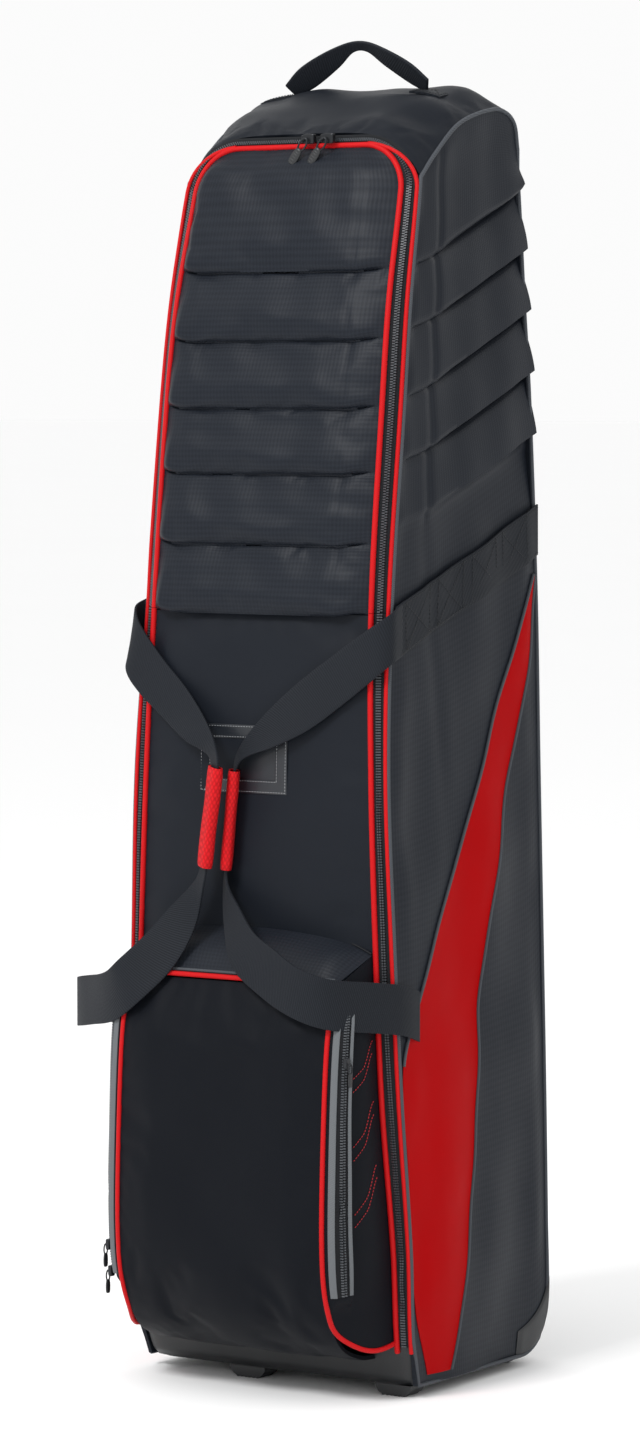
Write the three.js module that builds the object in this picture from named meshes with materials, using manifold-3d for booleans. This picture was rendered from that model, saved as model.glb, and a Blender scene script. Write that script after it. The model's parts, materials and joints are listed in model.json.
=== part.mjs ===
// Wheeled golf travel case, standing upright. Millimetres, +Z up, door facing -Y.
// The case has a padded fabric shell on a moulded base, a quilted door flap, a front pocket,
// two webbing carry handles with grips, a top handle and two wheels under the back edge.

import * as THREE from "three";
import { mergeVertices } from "three/addons/utils/BufferGeometryUtils.js";
import Module from "manifold-3d";

const wasm = await Module();
wasm.setup();

// ---------------------------------------------------------------- driving dimensions

// The shell is symmetrical about its own X = 0; the shift puts the middle of the whole outline,
// with the pocket and the slack strap, over the origin.
const frameShift = [25, 42.5];
const wall = 4; // padded fabric wall
const seam = 0.8; // gap kept where two panels are sewn together
const edgeWidth = 17; // slanting strip, with the zip, between a side panel and the door
const zipWidth = 4; // width of the closed teeth between door and edge
const floorTop = 12; // underside of the base, carried by feet and wheels
const panelFoot = 13; // lowest line of the side panels
const doorFoot = 54; // lowest line of the lower door
const creaseHeight = 781; // where the flap folds away from the lower door
const creaseGap = 4;
const doorTop = 1243; // top line of the flap at the middle
const doorCorner = 46; // how far the flap's top corners fall
const crownFront = 1256; // front edge of the crown at the middle

// Outline of the shell at several heights: half width, front edge and back face of the side
// panels, and how far the door stands in front of those front edges.
const shellStations = [
  { z: 12, half: 163, front: -116, back: 120, proud: 4 },
  { z: 70, half: 169, front: -132, back: 123, proud: 4 },
  { z: 150, half: 168, front: -134, back: 123, proud: 6 },
  { z: 300, half: 164, front: -145, back: 125, proud: 10 },
  { z: 450, half: 158, front: -149, back: 129, proud: 8 },
  { z: 620, half: 152, front: -151, back: 132, proud: 5 },
  { z: 790, half: 147, front: -137, back: 134, proud: 11 },
  { z: 990, half: 146, front: -113, back: 122, proud: 14 },
  { z: 1090, half: 144, front: -99, back: 114, proud: 13 },
  { z: 1207, half: 140, front: -75, back: 109, proud: 8 },
  { z: 1310, half: 134, front: -60, back: 104, proud: 5 },
];

// Middle line of the crown from its front edge over to the back, as [y, z].
const crownLine = new THREE.SplineCurve(
  [
    [-74, crownFront],
    [-48, 1272],
    [-8, 1294],
    [34, 1301],
    [78, 1300],
    [101, 1288],
    [108, 1262],
  ].map(([y, z]) => new THREE.Vector2(y, z)),
);
const crownDropFront = 46; // fall of the crown at its side edges, at the front
const crownDropBack = 18; // and at the back

const pocket = {
  half: 123,
  topFront: -203,
  topFrontHeight: 416,
  seamHeight: 468,
  seamDrop: 22,
};
// Front wall of the pocket from its top edge down and under to the base, as [y, z].
const pocketLine = new THREE.SplineCurve(
  [
    [-203, 415],
    [-216, 360],
    [-223, 260],
    [-225, 160],
    [-217, 104],
    [-192, 60],
    [-156, 42],
    [-124, 38],
  ].map(([y, z]) => new THREE.Vector2(y, z)),
);

const wheel = { radius: 36, width: 24, x: 132, y: 96, bore: 11.2 };
const axleRadius = 3.9;
const axleHole = 4.3;
const webbingHalf = 25; // half the width of the 50 mm webbing
const webbing = 2.4;

// ---------------------------------------------------------------- materials

const finish = (color, roughness, metalness = 0) =>
  new THREE.MeshStandardMaterial({ color, roughness, metalness });
const nylon = finish(0x2b2f35, 0.7);
const nylonDark = finish(0x202327, 0.75);
const webbingBlack = finish(0x24282d, 0.8);
const redNylon = finish(0xb4141e, 0.6);
const redGrip = finish(0xc8202a, 0.7);
const toothBlack = finish(0x16181a, 0.5);
const gunmetal = finish(0x3a3d42, 0.35, 1);
const mouldedBlack = finish(0x25282c, 0.55);
const tyreGrey = finish(0x1c1d1f, 0.8);
const steel = finish(0x9a9da1, 0.3, 1);
const vinyl = finish(0x4a4e54, 0.3);
const foam = finish(0x3a3a3c, 0.95);
const board = finish(0x2a2a2a, 0.9);

// ---------------------------------------------------------------- shape helpers

const travelCase = new THREE.Group();
travelCase.position.set(...frameShift, 0);

function add(name, geometry, material, parent = travelCase) {
  const mesh = new THREE.Mesh(geometry, material);
  mesh.name = name;
  parent.add(mesh);
  return mesh;
}

// A smooth value between stations, with the slope at each station set by its neighbours.
function along(stations, key, z) {
  const last = stations.length - 1;
  const at = THREE.MathUtils.clamp(z, stations[0].z, stations[last].z);
  let i = 0;
  while (i < last - 1 && at > stations[i + 1].z) i++;
  const slope = (k) => {
    const a = stations[Math.max(k - 1, 0)];
    const b = stations[Math.min(k + 1, last)];
    return (b[key] - a[key]) / (b.z - a.z);
  };
  const [p, q] = [stations[i], stations[i + 1]];
  const span = q.z - p.z;
  const t = (at - p.z) / span;
  const t2 = t * t;
  const t3 = t2 * t;
  return (
    (2 * t3 - 3 * t2 + 1) * p[key] +
    (t3 - 2 * t2 + t) * span * slope(i) +
    (3 * t2 - 2 * t3) * q[key] +
    (t3 - t2) * span * slope(i + 1)
  );
}
const half = (z) => along(shellStations, "half", z);
const front = (z) => along(shellStations, "front", z);
const back = (z) => along(shellStations, "back", z);
const doorFace = (z) => front(z) - along(shellStations, "proud", z);
const doorHalf = (z) => half(z) - edgeWidth;
const mix = THREE.MathUtils.lerp;

function signedVolume(geometry) {
  const g = geometry.index ? geometry.toNonIndexed() : geometry;
  const p = g.attributes.position;
  const [a, b, c] = [0, 1, 2].map(() => new THREE.Vector3());
  let sum = 0;
  for (let i = 0; i < p.count; i += 3) {
    a.fromBufferAttribute(p, i);
    b.fromBufferAttribute(p, i + 1);
    c.fromBufferAttribute(p, i + 2);
    sum += a.dot(b.clone().cross(c));
  }
  return sum;
}

function turnOutwards(geometry) {
  if (signedVolume(geometry) > 0) return geometry;
  const index = geometry.index.array;
  for (let i = 0; i < index.length; i += 3) {
    [index[i + 1], index[i + 2]] = [index[i + 2], index[i + 1]];
  }
  return geometry;
}

// A panel of the given thickness, centred on the surface place(u, v) with u and v from 0 to 1.
function sheet(place, thickness, nu, nv) {
  const geometry = new THREE.BoxGeometry(1, 1, 1, nu, nv, 1);
  const p = geometry.attributes.position;
  const step = 1e-3;
  for (let i = 0; i < p.count; i++) {
    const u = p.getX(i) + 0.5;
    const v = p.getY(i) + 0.5;
    const du = place(Math.min(u + step, 1), v).sub(place(Math.max(u - step, 0), v));
    const dv = place(u, Math.min(v + step, 1)).sub(place(u, Math.max(v - step, 0)));
    const normal = du.cross(dv).normalize();
    const at = place(u, v).addScaledVector(normal, p.getZ(i) * thickness);
    p.setXYZ(i, at.x, at.y, at.z);
  }
  return turnOutwards(geometry);
}

// A strap along stations { at, lean, turn, half }: lean tips its width from upright to level, and
// turn swings that level direction away from +X.
function strap(stations, thickness, steps) {
  const centre = new THREE.CatmullRomCurve3(stations.map((s) => new THREE.Vector3(...s.at)));
  const edge = new THREE.CatmullRomCurve3(
    stations.map(({ at, lean, turn = 0, half: reach }) => {
      const [tip, swing] = [lean, turn].map(THREE.MathUtils.degToRad);
      const level = reach * Math.sin(tip);
      return new THREE.Vector3(
        at[0] + level * Math.cos(swing),
        at[1] + level * Math.sin(swing),
        at[2] + reach * Math.cos(tip),
      );
    }),
  );
  const place = (u, v) => {
    const c = centre.getPoint(u);
    const across = edge.getPoint(u).sub(c);
    return c.addScaledVector(across, 2 * v - 1);
  };
  return sheet(place, thickness, steps, 1);
}

function solidOf(geometry) {
  const g = geometry.clone();
  g.deleteAttribute("normal");
  g.deleteAttribute("uv");
  const merged = mergeVertices(g, 1e-3);
  return new wasm.Manifold(
    new wasm.Mesh({
      numProp: 3,
      vertProperties: new Float32Array(merged.attributes.position.array),
      triVerts: new Uint32Array(merged.index.array),
    }),
  );
}

function geometryOf(solid) {
  const mesh = solid.getMesh();
  const geometry = new THREE.BufferGeometry();
  geometry.setAttribute("position", new THREE.BufferAttribute(mesh.vertProperties, 3));
  geometry.setIndex(new THREE.BufferAttribute(mesh.triVerts, 1));
  return geometry;
}

const box = (x0, x1, y0, y1, z0, z1) =>
  new THREE.BoxGeometry(x1 - x0, y1 - y0, z1 - z0).translate(
    (x0 + x1) / 2,
    (y0 + y1) / 2,
    (z0 + z1) / 2,
  );

// A cylinder lying along X, centred on [x, y, z].
const rod = (radius, length, [x, y, z], sides = 24) =>
  new THREE.CylinderGeometry(radius, radius, length, sides).rotateZ(Math.PI / 2).translate(x, y, z);

// A flat outline, given as [a, b] points, made thick by depth along the third axis.
function plate(points, depth, holes = []) {
  const shape = new THREE.Shape(points.map(([a, b]) => new THREE.Vector2(a, b)));
  for (const hole of holes) {
    shape.holes.push(new THREE.Path(hole.map(([a, b]) => new THREE.Vector2(a, b))));
  }
  return new THREE.ExtrudeGeometry(shape, { depth, bevelEnabled: false });
}

function roundedOutline(x0, x1, y0, y1, radius, steps = 6) {
  const points = [];
  const corners = [
    [x1 - radius, y1 - radius, 0],
    [x0 + radius, y1 - radius, 90],
    [x0 + radius, y0 + radius, 180],
    [x1 - radius, y0 + radius, 270],
  ];
  for (const [cx, cy, start] of corners) {
    for (let i = 0; i <= steps; i++) {
      const turn = THREE.MathUtils.degToRad(start + (90 * i) / steps);
      points.push([cx + radius * Math.cos(turn), cy + radius * Math.sin(turn)]);
    }
  }
  return points;
}

// ---------------------------------------------------------------- shell

const crownDrop = (u, s) =>
  mix(crownDropFront, crownDropBack, Math.min(u * 1.6, 1)) * Math.abs(s) ** 5;

// Point on the crown: u from the front edge to the back, s from -1 at the left to 1 at the right.
function crownPoint(u, s, sink = 0) {
  const p = crownLine.getPoint(u);
  return new THREE.Vector3(s * (half(1215) - sink), p.x, p.y - crownDrop(u, s));
}

// Height of the crown's side edge above the place at depth y.
function shoulder(y) {
  let best = 0;
  for (let i = 0; i <= 60; i++) {
    const u = i / 60;
    if (Math.abs(crownLine.getPoint(u).x - y) < Math.abs(crownLine.getPoint(best).x - y)) best = u;
  }
  return crownLine.getPoint(best).y - crownDrop(best, 1);
}

const shoulderGap = 6; // room for the crown's sloping hem over the side panels
const rearArc = 34; // rounding of the side panels' lowest back corner
function sidePanelPoint(side, u, v) {
  const turned = THREE.MathUtils.clamp((u - 0.84) / 0.16, 0, 1);
  const lift = rearArc * (1 - Math.sqrt(1 - turned ** 2));
  const low = panelFoot + lift;
  const high = shoulder(mix(front(1240), back(1240), u)) - wall - shoulderGap;
  const z = mix(low, high, v);
  return new THREE.Vector3(side * (half(z) - wall / 2), mix(front(z), back(z), u), z);
}

const sides = [
  ["left", -1],
  ["right", 1],
];

add(
  "back_panel",
  sheet(
    (u, v) => {
      const z = mix(88, 1240, v);
      return new THREE.Vector3((2 * u - 1) * (half(z) - wall - 2), back(z) - wall / 2 - 0.6, z);
    },
    wall,
    2,
    14,
  ),
  nylon,
);

for (const [name, side] of sides) {
  add(name + "_side_panel", sheet((u, v) => sidePanelPoint(side, u, v), wall, 10, 18), nylon);
}

add("crown_panel", sheet((u, v) => crownPoint(u, 2 * v - 1), wall, 12, 10), nylon);

add(
  "crown_foam",
  sheet(
    (u, v) => {
      const share = mix(0.16, 0.84, u);
      const p = crownPoint(share, 0.78 * (2 * v - 1));
      const tilt = crownLine.getTangent(share);
      const depth = wall / 2 + 5 + 1;
      return p.add(new THREE.Vector3(0, tilt.y * depth, -tilt.x * depth));
    },
    8,
    6,
    4,
  ),
  foam,
);

// Point on the slanting strip between door and side panel: t is 0 at the door, 1 at the side.
function slantPoint(side, t, z, depth) {
  const slope = Math.atan2(front(z) - doorFace(z), edgeWidth);
  const x = doorHalf(z) + edgeWidth * t - depth * Math.sin(slope);
  return new THREE.Vector3(side * x, mix(doorFace(z), front(z), t) + depth * Math.cos(slope), z);
}
const zipStart = seam / edgeWidth;
const zipEnd = (seam + zipWidth) / edgeWidth;

for (const [name, side] of sides) {
  add(
    name + "_front_edge",
    sheet(
      (u, v) => slantPoint(side, mix(zipEnd + 2 * zipStart, 0.72, u), mix(46, 1196, v), wall / 2),
      wall,
      1,
      14,
    ),
    nylon,
  );
}

add(
  "lower_door",
  sheet(
    (u, v) => {
      const z = mix(doorFoot, creaseHeight - creaseGap, v);
      return new THREE.Vector3((2 * u - 1) * (doorHalf(z) - 2), doorFace(z) + wall / 2, z);
    },
    wall,
    2,
    12,
  ),
  nylon,
);

// ---------------------------------------------------------------- flap and its zip

const flapThickness = 14;
const flapProud = 6; // how far the padding stands in front of the flap's edge
const flapDoor = new THREE.Group();
travelCase.add(flapDoor);

function flapPoint(u, v) {
  const s = 2 * u - 1;
  const top = doorTop - doorCorner * Math.abs(s) ** 5;
  const z = mix(creaseHeight, top, v);
  return new THREE.Vector3(s * doorHalf(z), doorFace(z) - flapProud + flapThickness / 2, z);
}
add("upper_flap", sheet(flapPoint, flapThickness, 10, 12), nylon, flapDoor);

// Strips that follow the sides and the top of the flap: across is measured out from its edge.
const flapSpan = doorTop - creaseHeight;
function rimPoint(t, across) {
  const corner = 46;
  const side = flapSpan - corner;
  const inner = doorHalf(doorTop) - corner;
  const arc = (Math.PI / 2) * corner;
  const s = t * 2 * (side + arc + inner);
  const left = s <= side + arc + inner;
  const run = left ? s : 2 * (side + arc + inner) - s;
  const sink = 0.7 * across + 1.4;
  let x = inner * (1 - (run - side - arc) / inner);
  let z = doorTop + across;
  if (run <= side) {
    x = inner + corner + across;
    z = creaseHeight + run;
  } else if (run <= side + arc) {
    const turn = (run - side) / corner;
    x = inner + (corner + across) * Math.cos(turn);
    z = doorTop - corner + (corner + across) * Math.sin(turn);
  }
  const widen = run <= side + arc ? doorHalf(z) - doorHalf(doorTop) : 0;
  return new THREE.Vector3((left ? -1 : 1) * (x + widen), doorFace(z) + sink, z);
}
const rimStrip = (inner, outer) =>
  sheet((u, v) => rimPoint(u, mix(inner, outer, v)), 2.2, 56, 1);

add("flap_zip", rimStrip(1, 2.6), toothBlack, flapDoor);
add("body_zip", rimStrip(3.2, 4.8), toothBlack);

for (const [name, side] of sides) {
  add(
    name + "_lower_zip",
    sheet(
      (u, v) => {
        const z = mix(doorFoot, creaseHeight - creaseGap, v);
        return slantPoint(side, mix(zipStart, zipEnd, u), z, 1.4);
      },
      2.2,
      1,
      12,
    ),
    toothBlack,
  );
}

// A slider is a waisted block; its pull is a slim tab with an eye at its upper end.
function sliderGeometry(length, width, height) {
  const l = length / 2;
  const w = width / 2;
  const outline = [
    [-l, -w * 0.6],
    [-l * 0.3, -w],
    [l * 0.6, -w],
    [l, -w * 0.7],
    [l, w * 0.7],
    [l * 0.6, w],
    [-l * 0.3, w],
    [-l, w * 0.6],
  ];
  return plate(outline, height).translate(0, 0, -height / 2);
}

function pullGeometry(length, width, thickness) {
  const eye = width * 0.3;
  const outline = [
    [-width * 0.32, 0],
    [width * 0.32, 0],
    [width * 0.5, -length * 0.3],
    [width * 0.5, -length * 0.9],
    [width * 0.25, -length],
    [-width * 0.25, -length],
    [-width * 0.5, -length * 0.9],
    [-width * 0.5, -length * 0.3],
  ];
  const hole = [0, 60, 120, 180, 240, 300].map((degrees) => {
    const turn = THREE.MathUtils.degToRad(degrees);
    return [eye * 0.5 * Math.cos(turn), -length * 0.12 + eye * 0.5 * Math.sin(turn)];
  });
  return plate(outline, thickness, [hole]).translate(0, 0, -thickness / 2);
}

const doorSliders = [
  { name: "left_door", x: 14, lean: -38 },
  { name: "right_door", x: 37, lean: -38 },
];
const sliderHeight = doorTop + 7;
for (const { name, x, lean } of doorSliders) {
  const y = doorFace(sliderHeight) - flapProud - 4.5;
  const slider = new THREE.Group();
  slider.position.set(x, y, sliderHeight);
  flapDoor.add(slider);
  add(name + "_slider", sliderGeometry(14, 9, 6).rotateX(Math.PI / 2), gunmetal, slider);
  const pull = new THREE.Group();
  pull.position.set(0, -5.5, -1);
  pull.rotation.y = THREE.MathUtils.degToRad(-lean);
  slider.add(pull);
  add(name + "_pull", pullGeometry(28, 8, 2).rotateX(Math.PI / 2), gunmetal, pull);
}

// ---------------------------------------------------------------- front pocket

add(
  "pocket_front",
  sheet(
    (u, v) => {
      const p = pocketLine.getPoint(v);
      return new THREE.Vector3((2 * u - 1) * pocket.half, p.x, p.y);
    },
    wall,
    2,
    16,
  ),
  nylonDark,
);

add(
  "pocket_top",
  sheet(
    (u, v) => {
      const s = 2 * u - 1;
      const rise = pocket.seamHeight - pocket.seamDrop * Math.abs(s) ** 4;
      const z = mix(pocket.topFrontHeight + 8, rise, v);
      const y = mix(pocket.topFront + 1, doorFace(455) - 2.4, v);
      return new THREE.Vector3(s * (pocket.half - 2), y, z);
    },
    wall,
    8,
    2,
  ),
  nylon,
);

// The side walls of the pocket widen from its front wall back to the door.
const gussetLow = 0.66; // where along the front wall the side walls end
function gussetPoint(side, u, v) {
  const rim = pocketLine.getPoint(mix(gussetLow, 0.1, v));
  const z = mix(rim.y, mix(66, 424, v), u);
  const rear = doorFace(z) - 2 * seam;
  const bulge = 7 * Math.sin(Math.PI * u);
  const x = mix(pocket.half + 3, doorHalf(z) - 2, u) + bulge;
  return new THREE.Vector3(side * x, mix(rim.x, rear, u), z);
}
for (const [name, side] of sides) {
  add(
    "pocket_" + name + "_gusset",
    sheet((u, v) => gussetPoint(side, u, v), 3, 4, 10),
    nylonDark,
  );
}

// Each side wall carries a zip near its front edge, on a narrow strip clear of the fabric.
const zipAt = 0.13;
function pocketZipPoint(side, across, v) {
  const p = gussetPoint(side, zipAt, mix(0.16, 0.9, v));
  return new THREE.Vector3(p.x + side * 6.4, p.y + across, p.z);
}
for (const [name, side] of sides) {
  add(
    "pocket_" + name + "_zip",
    sheet((u, v) => pocketZipPoint(side, mix(-4, 4, u), v), 2, 1, 12),
    toothBlack,
  );
}

const pocketSliders = [
  { name: "pocket_left_upper", side: -1, v: 0.21 },
  { name: "pocket_left_lower", side: -1, v: 0.04 },
  { name: "pocket_right", side: 1, v: 0.95 },
];
for (const { name, side, v } of pocketSliders) {
  const p = pocketZipPoint(side, 0, v);
  const slider = new THREE.Group();
  slider.position.set(p.x + side * 4.8, p.y, p.z);
  travelCase.add(slider);
  add(
    name + "_slider",
    sliderGeometry(12, 8, 5).rotateX(Math.PI / 2).rotateZ(Math.PI / 2).rotateX(Math.PI / 2),
    gunmetal,
    slider,
  );
  const pull = new THREE.Group();
  pull.position.set(side * 4.4, 0, -1);
  slider.add(pull);
  add(name + "_pull", pullGeometry(22, 7, 2).rotateX(Math.PI / 2).rotateZ(Math.PI / 2), gunmetal, pull);
}

// ---------------------------------------------------------------- name card window

const card = { x0: -66, x1: 39, z0: 599, z1: 667, border: 14 };
function cardSheet(inset, thickness, offset, nu = 2, nv = 2) {
  return sheet(
    (u, v) => {
      const z = mix(card.z0 + inset, card.z1 - inset, v);
      const x = mix(card.x0 + inset, card.x1 - inset, u);
      return new THREE.Vector3(x, doorFace(z) - 0.6 - offset, z);
    },
    thickness,
    nu,
    nv,
  );
}
const frameSolid = solidOf(cardSheet(0, 1.4, 0.9)).subtract(solidOf(cardSheet(card.border, 9, 0.9)));
add("id_window_frame", geometryOf(frameSolid), vinyl);
add("id_window_pane", cardSheet(card.border + 0.4, 0.8, 0.9), vinyl);

// ---------------------------------------------------------------- red side inserts

// Front and back edges of each insert at several heights, as depth from the case's middle.
const insertStations = [
  { z: 26, fore: -104, aft: -60 },
  { z: 90, fore: -129, aft: -47 },
  { z: 230, fore: -136, aft: -17 },
  { z: 340, fore: -137, aft: -4 },
  { z: 390, fore: -110, aft: 2 },
  { z: 505, fore: -44, aft: 31 },
  { z: 592, fore: 8, aft: 60 },
  { z: 702, fore: 62, aft: 105 },
  { z: 800, fore: 118, aft: 124 },
];
for (const [name, side] of sides) {
  add(
    name + "_red_insert",
    sheet(
      (u, v) => {
        const z = mix(26, 800, v);
        const y = mix(along(insertStations, "fore", z), along(insertStations, "aft", z), u);
        return new THREE.Vector3(side * (half(z) + 1.1), y, z);
      },
      1.2,
      2,
      24,
    ),
    redNylon,
  );
}

// ---------------------------------------------------------------- webbing and carry handles

// Webbing sewn up the side panels, from the front edge to the back edge.
for (const [name, side] of sides) {
  add(
    name + "_side_webbing",
    sheet(
      (u, v) => {
        const y = mix(-134, 128, u);
        const z = mix(762, 857, u) + mix(-27, 27, v);
        return new THREE.Vector3(side * (half(z) + 4.4), y, z);
      },
      webbing,
      6,
      1,
    ),
    webbingBlack,
  );
}

const gripLength = 100;
const handles = [
  {
    name: "left",
    gripTop: [-27, -190, 626],
    gripFoot: [-41, -190, 526],
    turn: -38,
    upper: [
      { at: [-158, -152, 748], lean: 14, half: webbingHalf },
      { at: [-128, -162, 715], lean: 40, half: 23 },
      { at: [-92, -168, 686], lean: 48, half: 21 },
      { at: [-56, -181, 658], lean: 60, half: 16 },
      { at: [-31, -189, 638], lean: 82, turn: -30, half: 10 },
    ],
    lower: [
      { at: [-46, -191, 510], lean: 98, turn: -30, half: 10 },
      { at: [-64, -196, 474], lean: 122, half: 18 },
      { at: [-85, -207, 440], lean: 134, half: 23 },
      { at: [-112, -222, 410], lean: 150, half: 24 },
      { at: [-138, -216, 393], lean: 168, half: webbingHalf },
    ],
  },
  {
    name: "right",
    gripTop: [-18, -171, 622],
    gripFoot: [-28, -171, 523],
    turn: -57,
    upper: [
      { at: [150, -152, 752], lean: 178, half: webbingHalf },
      { at: [104, -164, 717], lean: 168, half: 25 },
      { at: [60, -168, 686], lean: 158, half: 23 },
      { at: [20, -171, 659], lean: 142, turn: -10, half: 16 },
      { at: [-12, -171, 636], lean: 112, turn: -45, half: 9 },
    ],
    lower: [
      { at: [-28, -172, 508], lean: 78, turn: -45, half: 9 },
      { at: [-10, -187, 478], lean: 52, turn: -20, half: 16 },
      { at: [18, -208, 448], lean: 36, half: 22 },
      { at: [56, -222, 429], lean: 18, half: 25 },
      { at: [94, -229, 412], lean: 8, half: webbingHalf },
      { at: [126, -221, 402], lean: 3, half: webbingHalf },
      { at: [153, -178, 396], lean: 0, half: webbingHalf },
    ],
  },
];

for (const { name, gripTop, gripFoot, turn, upper, lower } of handles) {
  const handle = new THREE.Group();
  travelCase.add(handle);
  const [top, foot] = [gripTop, gripFoot].map((p) => new THREE.Vector3(...p));
  const inGrip = [0.92, 0.5, 0.08].map((share) => ({
    at: foot.clone().lerp(top, share).toArray(),
    lean: 90,
    turn,
    half: 8,
  }));
  add(name + "_handle_strap", strap([...upper, ...inGrip, ...lower], webbing, 52), webbingBlack, handle);
  const sleeve = plate(roundedOutline(-13, 13, -6, 6, 5.5, 4), gripLength, [
    roundedOutline(-10.5, 10.5, -3, 3, 1.5, 2).reverse(),
  ])
    .translate(0, 0, -gripLength / 2)
    .rotateZ(THREE.MathUtils.degToRad(turn));
  const grip = add(name + "_grip", sleeve, redGrip, handle);
  grip.position.copy(top).add(foot).multiplyScalar(0.5);
  grip.quaternion.setFromUnitVectors(new THREE.Vector3(0, 0, 1), top.clone().sub(foot).normalize());
}

// Fixed lower ends: the left one hangs out in a slack bight, the right one lies round the edge.
add(
  "left_lower_strap_end",
  strap(
    [
      { at: [-144, -211, 390], lean: 0, half: webbingHalf },
      { at: [-178, -194, 384], lean: 0, half: webbingHalf },
      { at: [-212, -170, 378], lean: 0, half: webbingHalf },
      { at: [-220, -152, 377], lean: 0, half: webbingHalf },
      { at: [-208, -136, 378], lean: 0, half: webbingHalf },
      { at: [-184, -128, 380], lean: 0, half: webbingHalf },
      { at: [-168, -122, 382], lean: 0, half: webbingHalf },
    ],
    webbing,
    18,
  ),
  webbingBlack,
);
add(
  "right_lower_strap_end",
  strap(
    [
      { at: [157, -167, 395], lean: 0, half: webbingHalf },
      { at: [164, -150, 392], lean: 0, half: webbingHalf },
      { at: [167, -134, 388], lean: 0, half: webbingHalf },
      { at: [166, -116, 382], lean: 0, half: webbingHalf },
    ],
    webbing,
    9,
  ),
  webbingBlack,
);

// ---------------------------------------------------------------- top handle

const topHandle = { y: 27, pivot: 1314, reach: 80, rise: 1350 };
const topHandleArch = new THREE.CatmullRomCurve3(
  [
    [-topHandle.reach, topHandle.pivot],
    [-62, 1328],
    [-30, 1343],
    [-8, topHandle.rise],
    [8, topHandle.rise],
    [30, 1343],
    [62, 1328],
    [topHandle.reach, topHandle.pivot],
  ].map(([x, z]) => new THREE.Vector3(x, topHandle.y, z)),
);
add(
  "top_handle",
  sheet(
    (u, v) => {
      const width = 9 + 7 * Math.sin(2 * Math.PI * Math.abs(u - 0.5)) ** 2;
      return topHandleArch.getPoint(u).add(new THREE.Vector3(0, width * (2 * v - 1), 0));
    },
    webbing * 1.4,
    20,
    1,
  ),
  webbingBlack,
);
for (const [name, side] of sides) {
  add(
    "top_handle_" + name + "_anchor",
    sheet(
      (u, v) => {
        const s = mix(0.62, 0.76, u);
        const p = crownPoint(mix(0.4, 0.62, v), side * s);
        return p.add(new THREE.Vector3(0, 0, wall / 2 + 2));
      },
      webbing,
      3,
      3,
    ),
    webbingBlack,
  );
}

// ---------------------------------------------------------------- base, feet and skid rails

const trayHalf = 157;
const trayFront = -114;
const trayBack = 114;
const trayWall = 3;
const trayCorner = 24;
const well = { x0: 106, x1: 160, y0: 50, y1: 140 };

const wells = sides.map(([, side]) => {
  const [x0, x1] = side < 0 ? [-well.x1, -well.x0] : [well.x0, well.x1];
  return solidOf(box(x0, x1, well.y0, well.y1, 0, 120));
});
// A block with the tray's rounded outline, drawn in by inset.
const trayBlock = (inset, height, z) =>
  solidOf(
    plate(
      roundedOutline(
        -trayHalf + inset,
        trayHalf - inset,
        trayFront + inset,
        trayBack - inset,
        trayCorner - inset,
      ),
      height,
    ).translate(0, 0, z),
  );
const tray = trayBlock(0, 38, floorTop)
  .subtract(trayBlock(trayWall, 60, floorTop + trayWall))
  .subtract(wells[0])
  .subtract(wells[1]);
add("base_tray", geometryOf(tray), mouldedBlack);

const insertBoard = trayBlock(6, 3, floorTop + trayWall + 0.5)
  .subtract(wells[0])
  .subtract(wells[1]);
add("base_board", geometryOf(insertBoard), board);

const feet = [
  { name: "left_foot", x: -42 },
  { name: "right_foot", x: 134 },
];
for (const { name, x } of feet) {
  const [top, foot, ribs] = [21, 14, 6];
  const outline = [
    [-top, floorTop - 0.4],
    [-top, 8],
    [-foot - 3, 3],
    [-foot, 1.8],
  ];
  for (let i = 0; i < ribs; i++) {
    const a = mix(-foot, foot, i / ribs);
    const b = mix(-foot, foot, (i + 1) / ribs);
    outline.push([mix(a, b, 0.25), 0], [mix(a, b, 0.7), 0], [b, 1.8]);
  }
  outline.push([foot + 3, 3], [top, 8], [top, floorTop - 0.4]);
  add(name, plate(outline, 26).rotateX(Math.PI / 2).translate(x, -88, 0), mouldedBlack);
}

for (const [name, side] of sides) {
  add(
    name + "_skid_rail",
    sheet(
      (u, v) => {
        const z = mix(110, 780, v);
        return new THREE.Vector3(side * mix(84, 106, u), back(z) + 5, z);
      },
      8,
      2,
      14,
    ),
    mouldedBlack,
  );
}

// ---------------------------------------------------------------- wheels

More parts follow.
